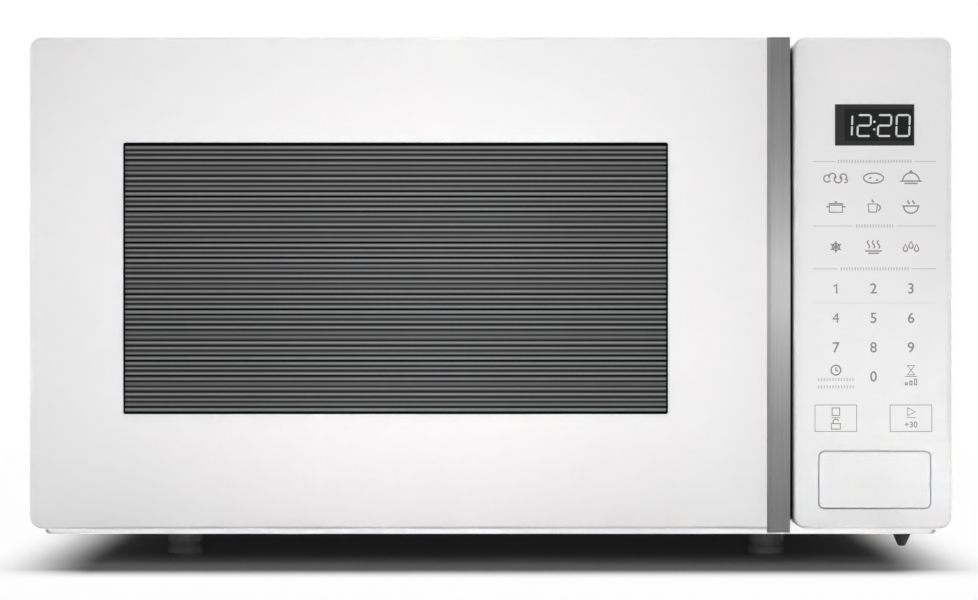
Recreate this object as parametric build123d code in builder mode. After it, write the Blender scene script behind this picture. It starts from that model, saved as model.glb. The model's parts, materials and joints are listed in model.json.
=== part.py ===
from build123d import *
import math
import os

os.makedirs("parts", exist_ok=True)

# A countertop microwave oven. X runs to the right, Y to the back and Z up, in millimetres.
# The origin is on the table under the middle of the oven. The door's front face looks along -Y.

# Fascia: the door and the control panel, side by side in front of the cabinet
fascia_width = 485.0
fascia_top = 276.5
fascia_bottom = 18.0
fascia_depth = 32.5
fascia_corner = 6.5
fascia_edge = 1.6
moulding = 2.5
panel_width = 83.1
door_gap = 3.3
seal_gap = 0.8
fit_gap = 0.3

# Cabinet: the outer sheet steel box behind the fascia
cabinet_depth = 343.0
cabinet_bottom = 12.4
cabinet_corner = 6.0
fascia_overhang = 2.5
fascia_rise = 1.5
sheet = 0.8
sheet_gap = 0.2
flange_depth = 11.0
screw_radius = 2.0
screw_head_radius = 4.0
screw_head_height = 1.6
hole_play = 0.2
spacer_length = 8.0
spacer_radius = 7.0

# Oven cavity, as wide and as high as the door's choke, hinge and latch leave room for
cavity_rear_gap = 10.0
cavity_corner = 2.0
cavity_flange = 5.0
choke_room_hinge = 0.7
choke_room_latch = 8.7
choke_room_below = 2.5
choke_room_above = 5.0

# Choke: the folded steel channel with teeth behind the door's rim
choke_seal = 4.0
choke_channel = 9.0
choke_depth = 19.0
choke_lip = 3.0
choke_recess = 2.4
tooth_pitch = 15.0
tooth_gap = 3.5
screen_press = 1.4
screen_margin = 6.0
film_thickness = 0.5

# Window in the door, measured in from the cavity's edges
window_side = 21.65
window_low = 42.2
window_high = 34.8
window_corner = 1.2
pane_thickness = 2.2
pane_lap = 5.0
pane_corner = 3.0
pane_sink = 0.3

# Hinge at the door's left edge
hinge_inset = 9.0
hinge_depth = 16.2
hinge_wall = 4.5
hinge_pin_radius = 2.5
hinge_play = 0.05
hinge_bush_wall = 1.0
hinge_arm_width = 9.0
hinge_arm_thick = 2.0
hinge_boss_length = 9.5
hinge_boss_radius = 4.8
hinge_arm_inset = 4.5
hinge_arm_drop = 7.0

# Brushed steel bar down the door's right edge
bar_width = 10.1
bar_bevel = 0.7
bar_overrun = 2.0
bar_end_depth = 10.8
bar_middle_depth = 12.5
bar_sheet = 0.8
bar_foot = 1.0

# Latch in the door
hook_inset = 13.1
hook_width = 8.0
hook_pitch = 150.0
hook_bottom = 64.0
hook_height = 8.0
hook_travel = 5.0
hook_reach = 31.0
hook_bar_gap = 6.0
hook_bar_depth = 7.0
guide_wall = 2.0
barb_drop = 4.0
barb_length = 16.0
ledge_overlap = 3.5
ledge_thick = 7.5
ledge_height = 5.5
ledge_slack = 0.5

# Release button and lever
button_width = 58.5
button_height = 30.0
button_bottom = 28.7
button_corner = 3.0
button_play = 0.4
button_proud = 0.5
button_skirt = 9.0
stem_shift = 20.9
stem_z = 36.0
stem_width = 6.0
stem_nose = 3.0
lever_setback = 11.0
lever_z = 50.0
lever_radius = 3.0
finger_reach = 16.0
finger_nose = 2.0
finger_gap = 0.4

# Control panel
control_shift = 0.95
display_width = 41.8
display_height = 21.9
display_drop = 46.1
membrane_thickness = 0.5
membrane_margin = 2.4
membrane_rise = 5.3
board_setback = 17.5
board_thick = 1.6

# Turntable
track_inset = 37.0
track_width = 14.0
track_height = 1.0
wheel_radius = 7.0
wheel_width = 5.0
wheel_count = 3
roll_gap = 0.3
axle_radius = 1.6
axle_play = 0.08
ring_width = 8.0
ring_height = 6.0
tray_radius = 135.0
tray_thick = 5.0
tray_rim = 9.0
tray_rim_width = 16.0
tray_lip = 2.5
coupler_height = 9.0
coupler_radius = 19.0
coupler_lobe = 4.0
coupler_hub = 8.0
shaft_radius = 3.5
shaft_play = 0.05
turntable_motor_radius = 25.0
turntable_motor_height = 15.0

# Feet
front_foot_inset = 82.0
front_foot_shift = -8.0
front_foot_setback = 19.0
rear_foot_inset = 35.0
rear_foot_setback = 32.0
foot_radius = 10.0
foot_waist = 8.4
foot_screw_radius = 2.2
nub_inset = 11.0
nub_setback = 48.0
nub_clearance = 1.5
nub_top_radius = 6.0
nub_tip_radius = 2.4

# Cooling fan and microwave source, in the compartment right of the cavity
fan_radius = 44.0
fan_hub_radius = 13.0
fan_blades = 5
fan_pitch = 28.0
fan_depth = 22.0
fan_tip_gap = 2.5
fan_motor_setback = 18.0
fan_frame_setback = 50.0
magnetron_width = 72.0
magnetron_height = 76.0
magnetron_depth = 56.0
fin_count = 6
fin_thick = 1.0
waveguide_depth = 38.0
fan_shift = 4.5
fan_drop = 51.0
magnetron_shift = 6.1
magnetron_rise = 16.0
waveguide_front_reach = 48.0
waveguide_back_reach = 52.0
waveguide_drop = 34.0
waveguide_head = 10.0
core_gap = 23.0
core_setback = 83.0
capacitor_gap = 14.0
capacitor_shift = 45.0

# Planes and edges that several pieces share
total_depth = bar_middle_depth + fascia_depth + cabinet_depth + spacer_length
fascia_front = bar_middle_depth - total_depth / 2
plate_front = fascia_front + fascia_depth
plate_back = plate_front + sheet
cabinet_back = plate_front + cabinet_depth
cabinet_half = fascia_width / 2 - fascia_overhang
cabinet_top = fascia_top - fascia_rise
fascia_left = -fascia_width / 2
fascia_right = fascia_width / 2
fascia_height = fascia_top - fascia_bottom
fascia_mid_z = (fascia_top + fascia_bottom) / 2
door_left = fascia_left
door_width = fascia_width - door_gap - panel_width
door_right = door_left + door_width
door_mid_x = (door_left + door_right) / 2
door_back = plate_front - seal_gap
panel_left = door_right + door_gap
panel_mid_x = (panel_left + fascia_right) / 2
panel_back = plate_front - sheet_gap
pivot_x = door_left + hinge_inset
pivot_y = plate_front - hinge_depth
lower_arm_z = fascia_bottom + hinge_arm_inset
upper_arm_z = fascia_top - hinge_arm_drop - hinge_arm_thick
hook_x = door_right - hook_inset
hook_back = plate_front + hook_reach
hook_bar_front = fascia_front + moulding + hook_bar_gap
choke_rim = choke_seal + choke_channel
guide_reach = hook_width / 2 + fit_gap + guide_wall
cavity_left = pivot_x + hinge_boss_radius + choke_room_hinge + choke_rim
cavity_right = hook_x - guide_reach - choke_room_latch - choke_rim
cavity_floor = fascia_bottom + moulding + choke_room_below + choke_rim
cavity_top = fascia_top - moulding - choke_room_above - choke_rim
cavity_back = cabinet_back - cavity_rear_gap
cavity_front = plate_back
cavity_mid_x = (cavity_left + cavity_right) / 2
cavity_mid_z = (cavity_floor + cavity_top) / 2
window_x = (cavity_left + window_side, cavity_right - window_side)
window_z = (cavity_floor + window_low, cavity_top - window_high)
turn_x = cavity_mid_x
track_radius = tray_radius - track_inset
turn_y = (cavity_front + cavity_back) / 2
roll_floor = cavity_floor + track_height
wheel_z = roll_floor + roll_gap + wheel_radius
tray_bottom = wheel_z + wheel_radius + roll_gap
ledge_back = hook_back - barb_length - ledge_slack
lower_ledge_top = hook_bottom - barb_drop + ledge_overlap
bar_left = door_right - bar_width
button_centre_x = panel_mid_x + control_shift
display_centre_z = fascia_top - display_drop
membrane_bottom = button_bottom + button_height + membrane_rise
stem_x = button_centre_x - stem_shift
lever_y = plate_front + lever_setback
board_y = fascia_front + board_setback
compartment_mid_x = (cavity_right + cabinet_half) / 2
fan_x = compartment_mid_x + fan_shift
fan_z = cavity_top - fan_drop
fan_motor_y = cabinet_back - fan_motor_setback
fan_frame_y = cabinet_back - fan_frame_setback
magnetron_y = turn_y + magnetron_shift
magnetron_z = cavity_mid_z + magnetron_rise
front_foot_x = cabinet_half - front_foot_inset
front_foot_y = plate_front + front_foot_setback
rear_foot_x = cabinet_half - rear_foot_inset
rear_foot_y = cabinet_back - rear_foot_setback
nub_x = cabinet_half - nub_inset
nub_y = plate_front + nub_setback


def front_plane(y):
    """A plane at this y that looks to the front: its own x and y are the object's X and Z."""
    return Plane.XZ.offset(-y)


def side_plane(x):
    """A plane at this x that looks to the right: its own x and y are the object's Y and Z."""
    return Plane.YZ.offset(x)


def level(z):
    """A level plane at this height."""
    return Plane.XY.offset(z)


def block(x, y, z, mode=Mode.ADD):
    """A box between two corners, given as (low, high) along each axis, in the part being built."""
    with Locations(((x[0] + x[1]) / 2, (y[0] + y[1]) / 2, (z[0] + z[1]) / 2)):
        Box(x[1] - x[0], y[1] - y[0], z[1] - z[0], mode=mode)


def rod(x, y, z, radius, axis, length, mode=Mode.ADD):
    """A cylinder that starts at a point and runs this length along Axis.X, Axis.Y or Axis.Z."""
    with BuildSketch(Plane(origin=(x, y, z), z_dir=axis.direction)) as section:
        Circle(radius)
    extrude(section.sketch, amount=length, mode=mode)


def plate(x, z, y, corner=0.0, mode=Mode.ADD):
    """An upright plate across the oven between these x, z and y limits, with round corners."""
    with BuildSketch(front_plane(y[1])) as outline:
        with Locations(((x[0] + x[1]) / 2, (z[0] + z[1]) / 2)):
            if corner > 0:
                RectangleRounded(x[1] - x[0], z[1] - z[0], corner)
            else:
                Rectangle(x[1] - x[0], z[1] - z[0])
    extrude(outline.sketch, amount=y[1] - y[0], mode=mode)


def frame_ring(x, z, width, y, corner=0.0):
    """An upright rectangular ring of this width inside the x and z limits, between the y limits."""
    inner_x = x[1] - x[0] - 2 * width
    inner_z = z[1] - z[0] - 2 * width
    with BuildSketch(front_plane(y[1])) as outline:
        with Locations(((x[0] + x[1]) / 2, (z[0] + z[1]) / 2)):
            if corner > width:
                RectangleRounded(x[1] - x[0], z[1] - z[0], corner)
                RectangleRounded(inner_x, inner_z, corner - width, mode=Mode.SUBTRACT)
            else:
                Rectangle(x[1] - x[0], z[1] - z[0])
                Rectangle(inner_x, inner_z, mode=Mode.SUBTRACT)
    extrude(outline.sketch, amount=y[1] - y[0])


# Cabinet wrapper: top and both sides in one bent sheet, with a flange round its rear edge
side_vent_columns = 7
side_vent_rows = 5
vent_slot_length = 22.0
vent_slot_width = 3.0
vent_pitch_y = 26.0
vent_pitch_z = 8.0
left_vent_shift = 66.1
left_vent_drop = 47.0
right_vent_shift = 46.1
right_vent_rise = 47.6
left_vent_y = turn_y + left_vent_shift
left_vent_z = cabinet_top - left_vent_drop
right_vent_y = turn_y + right_vent_shift
right_vent_z = cabinet_bottom + right_vent_rise
wrapper_front = plate_back + sheet_gap
wrapper_flange = 12.0
wrapper_bottom = cabinet_bottom + sheet
rear_screw_inset = 5.5
rear_screw_spread = 60.0
rear_screw_rise = 67.6
rear_screw_spots = [
    (-cabinet_half + rear_screw_spread, cabinet_top - rear_screw_inset),
    (0.0, cabinet_top - rear_screw_inset),
    (cabinet_half - rear_screw_spread, cabinet_top - rear_screw_inset),
    (-cabinet_half + rear_screw_inset, cabinet_bottom + rear_screw_rise),
    (cabinet_half - rear_screw_inset, cabinet_bottom + rear_screw_rise),
]

with BuildPart() as cabinet_wrapper:
    with BuildSketch(front_plane(cabinet_back)):
        with BuildLine():
            FilletPolyline(
                (-cabinet_half, wrapper_bottom),
                (-cabinet_half, cabinet_top),
                (cabinet_half, cabinet_top),
                (cabinet_half, wrapper_bottom),
                radius=cabinet_corner,
            )
            offset(amount=sheet, side=Side.RIGHT)
        make_face()
    extrude(amount=cabinet_back - wrapper_front)
    with BuildSketch(front_plane(cabinet_back)):
        with BuildLine():
            FilletPolyline(
                (-cabinet_half, wrapper_bottom),
                (-cabinet_half, cabinet_top),
                (cabinet_half, cabinet_top),
                (cabinet_half, wrapper_bottom),
                radius=cabinet_corner,
            )
            Polyline(
                (cabinet_half, wrapper_bottom),
                (cabinet_half - wrapper_flange, wrapper_bottom),
                (cabinet_half - wrapper_flange, cabinet_top - wrapper_flange),
                (-cabinet_half + wrapper_flange, cabinet_top - wrapper_flange),
                (-cabinet_half + wrapper_flange, wrapper_bottom),
                (-cabinet_half, wrapper_bottom),
            )
        make_face()
    extrude(amount=sheet)
    with BuildSketch(side_plane(-cabinet_half + 2 * sheet)):
        with Locations((left_vent_y, left_vent_z)):
            with GridLocations(vent_pitch_y, vent_pitch_z, side_vent_rows, side_vent_rows):
                Rectangle(vent_slot_length, vent_slot_width)
    extrude(amount=-3 * sheet, mode=Mode.SUBTRACT)
    with BuildSketch(side_plane(cabinet_half + sheet)):
        with Locations((right_vent_y, right_vent_z)):
            with GridLocations(vent_pitch_y, vent_pitch_z, side_vent_rows, side_vent_columns):
                Rectangle(vent_slot_length, vent_slot_width)
    extrude(amount=-3 * sheet, mode=Mode.SUBTRACT)
    with BuildSketch(front_plane(cabinet_back + sheet)):
        with Locations(*rear_screw_spots):
            Circle(screw_radius + hole_play)
    extrude(amount=3 * sheet, mode=Mode.SUBTRACT)
cabinet_wrapper.part.label = "cabinet_wrapper"
export_step(cabinet_wrapper.part, "parts/cabinet_wrapper.step")

# Front plate: the painted steel face round the cavity, with a flange that the wrapper slides over
slot_play = 3.0
arm_slot_play = 0.6
control_window_margin = 12.0
plate_x = (-cabinet_half + sheet + sheet_gap, cabinet_half - sheet - sheet_gap)
plate_y = (plate_front, plate_back)
flange_z = (cabinet_bottom + sheet + sheet_gap, cabinet_top - sheet - sheet_gap)
hook_slot_bottoms = [
    hook_bottom - barb_drop - slot_play,
    hook_bottom + hook_pitch - barb_drop - slot_play,
]
hook_slot_height = hook_height + barb_drop + hook_travel + 2 * slot_play
arm_levels = [lower_arm_z, upper_arm_z]

with BuildPart() as front_plate:
    plate((-cabinet_half, cabinet_half), (cabinet_bottom, cabinet_top), plate_y, cabinet_corner)
    frame_ring(plate_x, flange_z, sheet, (plate_back, plate_back + flange_depth), cabinet_corner - sheet)
    plate((cavity_left, cavity_right), (cavity_floor, cavity_top), plate_y, cavity_corner, Mode.SUBTRACT)
    plate(
        (panel_left + control_window_margin, fascia_right - control_window_margin),
        (fascia_bottom + control_window_margin, fascia_top - control_window_margin),
        plate_y,
        window_corner,
        Mode.SUBTRACT,
    )
    for slot_bottom in hook_slot_bottoms:
        plate(
            (hook_x - hook_width / 2 - slot_play, hook_x + hook_width / 2 + slot_play),
            (slot_bottom, slot_bottom + hook_slot_height),
            plate_y,
            window_corner,
            Mode.SUBTRACT,
        )
    for arm_z in arm_levels:
        plate(
            (pivot_x - hinge_arm_width / 2 - arm_slot_play, pivot_x + hinge_arm_width / 2 + arm_slot_play),
            (arm_z - arm_slot_play, arm_z + hinge_arm_thick + arm_slot_play),
            plate_y,
            0.0,
            Mode.SUBTRACT,
        )
front_plate.part.label = "front_plate"
export_step(front_plate.part, "parts/front_plate.step")

# Base pan: a shallow steel tray with holes for the feet and slots for the cooling air
pan_lip = 9.0
pan_slot_columns = 8
pan_slot_rows = 3
pan_slot_pitch = 12.0
pan_slot_spread = 33.8
pan_slot_shift = 2.5
pan_x = (-cabinet_half + sheet + sheet_gap, cabinet_half - sheet - sheet_gap)
pan_y = (plate_back + flange_depth + sheet_gap, cabinet_back - 2 * sheet - sheet_gap)
pan_front_y = plate_back + sheet_gap
pan_mid_y = (pan_front_y + pan_y[1]) / 2
pan_width = pan_x[1] - pan_x[0]
pan_lip_depth = pan_y[1] - pan_y[0]
front_foot_spots = [
    (front_foot_shift - front_foot_x, front_foot_y),
    (front_foot_shift + front_foot_x, front_foot_y),
]
rear_foot_spots = [(-rear_foot_x, rear_foot_y), (rear_foot_x, rear_foot_y)]
foot_spots = front_foot_spots + rear_foot_spots

with BuildPart() as base_pan:
    with BuildSketch(level(cabinet_bottom)):
        with Locations((0, pan_mid_y)):
            Rectangle(pan_width, pan_y[1] - pan_front_y)
    extrude(amount=sheet)
    with BuildSketch(level(cabinet_bottom + sheet)):
        with Locations((0, (pan_y[0] + pan_y[1]) / 2)):
            Rectangle(pan_width, pan_lip_depth)
            Rectangle(pan_width - 2 * sheet, pan_lip_depth - 2 * sheet, mode=Mode.SUBTRACT)
    extrude(amount=pan_lip)
    with BuildSketch(level(cabinet_bottom)):
        with Locations((compartment_mid_x - pan_slot_shift, magnetron_y)):
            with GridLocations(pan_slot_pitch, pan_slot_spread, pan_slot_columns, pan_slot_rows):
                Rectangle(vent_slot_width, vent_slot_length)
        with Locations(*foot_spots, (nub_x, nub_y)):
            Circle(foot_screw_radius + hole_play)
    extrude(amount=sheet, mode=Mode.SUBTRACT)
base_pan.part.label = "base_pan"
export_step(base_pan.part, "parts/base_pan.step")

# Rear panel: ribs pressed into it, outlet slots behind the fan, a hole for the cord gland and screw holes
rear_vent_rows = 9
rear_vent_columns = 3
gland_inset = 35.0
gland_rise = 29.6
gland_radius = 7.0
gland_x = cabinet_half - gland_inset
gland_z = cabinet_bottom + gland_rise
rear_panel_y = (cabinet_back - 2 * sheet, cabinet_back - sheet)
rib_length = 150.0
rib_width = 7.0
rib_pitch = 34.0
rib_count = 4
rib_press = 1.2
rib_draft = 20.0
rib_x = cavity_mid_x - 40.0
rib_z = cavity_mid_z - 20.0
spacer_inset = 90.0
spacer_drop = 47.0
spacer_rise = 83.6
spacer_spots = [
    (-cabinet_half + spacer_inset, cabinet_top - spacer_drop),
    (cabinet_half - spacer_inset, cabinet_bottom + spacer_rise),
]

with BuildPart() as rear_panel:
    plate(pan_x, (cabinet_bottom + 2 * sheet, flange_z[1]), rear_panel_y, cabinet_corner - sheet)
    with BuildSketch(front_plane(rear_panel_y[0])):
        with Locations((rib_x, rib_z)):
            with GridLocations(0, rib_pitch, 1, rib_count):
                Rectangle(rib_length, rib_width)
    extrude(amount=rib_press, taper=rib_draft)
    with BuildSketch(front_plane(rear_panel_y[1])):
        with Locations((rib_x, rib_z)):
            with GridLocations(0, rib_pitch, 1, rib_count):
                Rectangle(rib_length - sheet, rib_width - sheet)
    extrude(amount=rib_press, taper=rib_draft, mode=Mode.SUBTRACT)
    with BuildSketch(front_plane(rear_panel_y[1])):
        with Locations((fan_x, fan_z)):
            with GridLocations(vent_pitch_y, vent_pitch_z, rear_vent_columns, rear_vent_rows):
                Rectangle(vent_slot_length, vent_slot_width)
        with Locations((gland_x, gland_z)):
            Circle(gland_radius + 0.1)
        with Locations(*rear_screw_spots):
            Circle(screw_radius + hole_play)
        with Locations(*spacer_spots):
            Circle(screw_radius + hole_play)
    extrude(amount=sheet, mode=Mode.SUBTRACT)
rear_panel.part.label = "rear_panel"
export_step(rear_panel.part, "parts/rear_panel.step")

# Oven cavity: the painted steel box, open to the front, welded to the front plate
lamp_setback = 78.0
lamp_drop = 30.0
outlet_drop = 24.0
lamp_y = cavity_back - lamp_setback
lamp_z = cavity_top - lamp_drop
lamp_hole_radius = 2.0
lamp_hole_pitch = 7.0
outlet_y = turn_y + left_vent_shift
outlet_z = cavity_top - outlet_drop
waveguide_y = magnetron_y + 2.0
waveguide_z = magnetron_z + 14.0
waveguide_window = (84.0, 52.0)
cover_margin = 9.0
clip_y = waveguide_y + waveguide_window[0] / 2 + cover_margin / 2
clip_stem_radius = 2.0
shaft_hole_radius = 8.0
shaft_hole_rim = 6.0
inner_x = (cavity_left, cavity_right)
inner_z = (cavity_floor, cavity_top)
outer_x = (cavity_left - sheet, cavity_right + sheet)
outer_z = (cavity_floor - sheet, cavity_top + sheet)

with BuildPart() as cavity_shell:
    plate(outer_x, outer_z, (cavity_front, cavity_back + sheet), cavity_corner + sheet)
    plate(
        (outer_x[0] - cavity_flange, outer_x[1] + cavity_flange),
        (outer_z[0] - cavity_flange, outer_z[1] + cavity_flange),
        (cavity_front, cavity_front + sheet),
        cavity_corner + sheet + cavity_flange,
    )
    plate(inner_x, inner_z, (cavity_front, cavity_back), cavity_corner, Mode.SUBTRACT)
    with BuildSketch(level(cavity_floor)):
        with Locations((turn_x, turn_y)):
            Circle(track_radius + track_width / 2)
            Circle(track_radius - track_width / 2, mode=Mode.SUBTRACT)
            Circle(shaft_hole_radius + shaft_hole_rim)
    extrude(amount=track_height)
    with BuildSketch(level(cavity_floor - sheet)):
        with Locations((turn_x, turn_y)):
            Circle(shaft_hole_radius)
    extrude(amount=sheet + track_height, mode=Mode.SUBTRACT)
    with BuildSketch(side_plane(cavity_right)):
        with Locations((lamp_y, lamp_z)):
            with GridLocations(lamp_hole_pitch, lamp_hole_pitch, 4, 3):
                RegularPolygon(lamp_hole_radius, 6)
        with Locations((waveguide_y, waveguide_z)):
            Rectangle(*waveguide_window)
        with Locations((clip_y, waveguide_z)):
            Circle(clip_stem_radius + 0.1)
    extrude(amount=sheet, mode=Mode.SUBTRACT)
    with BuildSketch(side_plane(cavity_left)):
        with Locations((outlet_y, outlet_z)):
            with GridLocations(lamp_hole_pitch, lamp_hole_pitch, 8, 3):
                RegularPolygon(lamp_hole_radius, 6)
    extrude(amount=-sheet, mode=Mode.SUBTRACT)
cavity_shell.part.label = "cavity_shell"
export_step(cavity_shell.part, "parts/cavity_shell.step")

# Waveguide: a steel duct on the cavity's right wall, with the hole that the antenna enters
waveguide_y_span = (magnetron_y - waveguide_front_reach, magnetron_y + waveguide_back_reach)
waveguide_z_span = (magnetron_z - waveguide_drop, waveguide_z + waveguide_window[1] / 2 + waveguide_head)
waveguide_bend = 6.0
waveguide_x = (cavity_right + sheet, cavity_right + sheet + waveguide_depth)
antenna_hole_radius = 15.0
weld_flange = 7.0

with BuildPart() as waveguide:
    block(waveguide_x, waveguide_y_span, waveguide_z_span)
    fillet(waveguide.edges().filter_by(Axis.X), waveguide_bend)
    with BuildSketch(side_plane(waveguide_x[0])):
        with Locations((sum(waveguide_y_span) / 2, sum(waveguide_z_span) / 2)):
            Rectangle(
                waveguide_y_span[1] - waveguide_y_span[0] + 2 * weld_flange,
                waveguide_z_span[1] - waveguide_z_span[0] + 2 * weld_flange,
            )
    extrude(amount=sheet)
    block(
        (waveguide_x[0], waveguide_x[1] - sheet),
        (waveguide_y_span[0] + sheet, waveguide_y_span[1] - sheet),
        (waveguide_z_span[0] + sheet, waveguide_z_span[1] - sheet),
        Mode.SUBTRACT,
    )
    rod(waveguide_x[1], magnetron_y, magnetron_z, antenna_hole_radius, Axis.X, -2 * sheet, Mode.SUBTRACT)
waveguide.part.label = "waveguide"
export_step(waveguide.part, "parts/waveguide.step")

# Waveguide cover: a sheet of mica inside the cavity, held by one clip button
mica_thickness = 0.6
clip_radius = 5.0
clip_head = 1.6
clip_overrun = 3.0
cover_size = (waveguide_window[0] + 2 * cover_margin, waveguide_window[1] + 2 * cover_margin)
cover_corner = 4.0
cover_notch = (16.0, 6.0)
clip_face = cavity_right - mica_thickness

with BuildPart() as waveguide_cover:
    with BuildSketch(side_plane(cavity_right)):
        with Locations((waveguide_y, waveguide_z)):
            RectangleRounded(*cover_size, cover_corner)
            with Locations((0, cover_size[1] / 2)):
                Rectangle(*cover_notch, mode=Mode.SUBTRACT)
            with Locations((waveguide_window[0] / 2 + cover_margin / 2, 0)):
                Circle(clip_stem_radius + 0.2, mode=Mode.SUBTRACT)
    extrude(amount=-mica_thickness)
waveguide_cover.part.label = "waveguide_cover"
export_step(waveguide_cover.part, "parts/waveguide_cover.step")

with BuildPart() as cover_clip:
    rod(clip_face, clip_y, waveguide_z, clip_radius, Axis.X, -clip_head)
    rod(clip_face, clip_y, waveguide_z, clip_stem_radius, Axis.X, mica_thickness + sheet + clip_overrun)
    chamfer(cover_clip.faces().sort_by(Axis.X)[0].edges(), 0.8)
cover_clip.part.label = "cover_clip"
export_step(cover_clip.part, "parts/cover_clip.step")

# Magnetron: a steel yoke round the finned anode, its two magnets, the antenna and the filter box
magnetron_x = (waveguide_x[1], waveguide_x[1] + magnetron_depth)
yoke_plate = 1.6
yoke_hole_radius = 9.0
magnet_radius = 27.0
magnet_thick = 8.0
anode_radius = 19.0
antenna_radius = 7.5
antenna_length = 20.0
filter_depth = 20.0
filter_width = 48.0
filter_height = 44.0
filter_bend = 3.0
plug_setback = 4.0
plug_thick = 12.0
plug_reach = 10.0
plug_height = 18.0

with BuildPart() as magnetron_yoke:
    block(
        magnetron_x,
        (magnetron_y - magnetron_width / 2, magnetron_y + magnetron_width / 2),
        (magnetron_z - magnetron_height / 2, magnetron_z + magnetron_height / 2),
    )
    block(
        (magnetron_x[0] + yoke_plate, magnetron_x[1] - yoke_plate),
        (magnetron_y - magnetron_width / 2, magnetron_y + magnetron_width / 2),
        (magnetron_z - magnetron_height / 2 + yoke_plate, magnetron_z + magnetron_height / 2 - yoke_plate),
        Mode.SUBTRACT,
    )
    rod(magnetron_x[0], magnetron_y, magnetron_z, antenna_radius + 3.0, Axis.X, yoke_plate, Mode.SUBTRACT)
    rod(magnetron_x[1], magnetron_y, magnetron_z, yoke_hole_radius, Axis.X, -yoke_plate, Mode.SUBTRACT)
magnetron_yoke.part.label = "magnetron_yoke"
export_step(magnetron_yoke.part, "parts/magnetron_yoke.step")

magnet_near = (magnetron_x[0] + yoke_plate, magnetron_x[0] + yoke_plate + magnet_thick)
magnet_far = (magnetron_x[1] - yoke_plate - magnet_thick, magnetron_x[1] - yoke_plate)

with BuildPart() as magnetron_magnets:
    for magnet_x in (magnet_near, magnet_far):
        with BuildSketch(side_plane(magnet_x[0])):
            with Locations((magnetron_y, magnetron_z)):
                Circle(magnet_radius)
                Circle(antenna_radius + 3.0, mode=Mode.SUBTRACT)
        extrude(amount=magnet_thick)
magnetron_magnets.part.label = "magnetron_magnets"
export_step(magnetron_magnets.part, "parts/magnetron_magnets.step")

fin_span = magnet_far[0] - magnet_near[1]
fin_pitch = fin_span / fin_count
fin_width = magnetron_width - 2.0
fin_height = magnetron_height - 2 * yoke_plate

with BuildPart() as magnetron_anode:
    rod(magnet_near[1], magnetron_y, magnetron_z, anode_radius, Axis.X, fin_span)
    for fin in range(fin_count):
        with BuildSketch(side_plane(magnet_near[1] + (fin + 0.5) * fin_pitch - fin_thick / 2)):
            with Locations((magnetron_y, magnetron_z)):
                Rectangle(fin_width, fin_height)
        extrude(amount=fin_thick)
magnetron_anode.part.label = "magnetron_anode"
export_step(magnetron_anode.part, "parts/magnetron_anode.step")

antenna_tip = magnetron_x[0] - antenna_length

with BuildPart() as magnetron_antenna:
    rod(magnet_near[1], magnetron_y, magnetron_z, antenna_radius, Axis.X, antenna_tip - magnet_near[1])
    rod(magnetron_x[0], magnetron_y, magnetron_z, antenna_radius + 2.0, Axis.X, -4.0)
    chamfer(magnetron_antenna.faces().sort_by(Axis.X)[0].edges(), 2.0)
magnetron_antenna.part.label = "magnetron_antenna"
export_step(magnetron_antenna.part, "parts/magnetron_antenna.step")

with BuildPart() as magnetron_filter:
    block(
        (magnetron_x[1], magnetron_x[1] + filter_depth),
        (magnetron_y - filter_width / 2, magnetron_y + filter_width / 2),
        (magnetron_z - filter_height / 2, magnetron_z + filter_height / 2),
    )
    fillet(magnetron_filter.edges().filter_by(Axis.X), filter_bend)
    block(
        (magnetron_x[1] + plug_setback, magnetron_x[1] + plug_setback + plug_thick),
        (magnetron_y - filter_width / 2 - plug_reach, magnetron_y - filter_width / 2),
        (magnetron_z - plug_height / 2, magnetron_z + plug_height / 2),
    )
magnetron_filter.part.label = "magnetron_filter"
export_step(magnetron_filter.part, "parts/magnetron_filter.step")

# High voltage transformer on the base pan: a laminated core with two windings
core_width = 68.0
core_length = 104.0
core_x = (cavity_right + core_gap, cavity_right + core_gap + core_width)
core_y = (plate_front + core_setback, plate_front + core_setback + core_length)
core_foot_reach = 6.0
core_foot_inset = 8.0
core_foot_length = 14.0
core_height = 84.0
core_limb = 17.0
core_foot = 4.0
winding_gap = 0.6
pan_top = cabinet_bottom + sheet
core_z = (pan_top + core_foot, pan_top + core_foot + core_height)
core_mid_y = sum(core_y) / 2
core_window = (core_y[1] - core_y[0]) / 2 - core_limb * 1.5

with BuildPart() as transformer_core:
    block(core_x, core_y, core_z)
    for window_y in (core_mid_y - core_limb - core_window / 2, core_mid_y + core_limb + core_window / 2):
        block(
            core_x,
            (window_y - core_window / 2, window_y + core_window / 2),
            (core_z[0] + core_limb, core_z[1] - core_limb),
            Mode.SUBTRACT,
        )
    for foot_start in (core_y[0] + core_foot_inset, core_y[1] - core_foot_inset - core_foot_length):
        block(
            (core_x[0] - core_foot_reach, core_x[1] + core_foot_reach),
            (foot_start, foot_start + core_foot_length),
            (pan_top, core_z[0]),
        )
transformer_core.part.label = "transformer_core"
export_step(transformer_core.part, "parts/transformer_core.step")

winding_height = (core_z[1] - core_z[0] - 2 * core_limb - 3 * winding_gap) / 2
winding_overhang = 12.0
winding_size = (core_width + 2 * winding_overhang, 2 * (core_limb + core_window - winding_gap))
winding_hole = (core_width + 2 * winding_gap, 2 * (core_limb + winding_gap))
winding_corner = 10.0

with BuildPart() as transformer_windings:
    for turn in range(2):
        winding_bottom = core_z[0] + core_limb + winding_gap + turn * (winding_height + winding_gap)
        with BuildSketch(level(winding_bottom)):
            with Locations((sum(core_x) / 2, core_mid_y)):
                RectangleRounded(*winding_size, winding_corner)
                Rectangle(*winding_hole, mode=Mode.SUBTRACT)
        extrude(amount=winding_height)
transformer_windings.part.label = "transformer_windings"
export_step(transformer_windings.part, "parts/transformer_windings.step")

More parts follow.
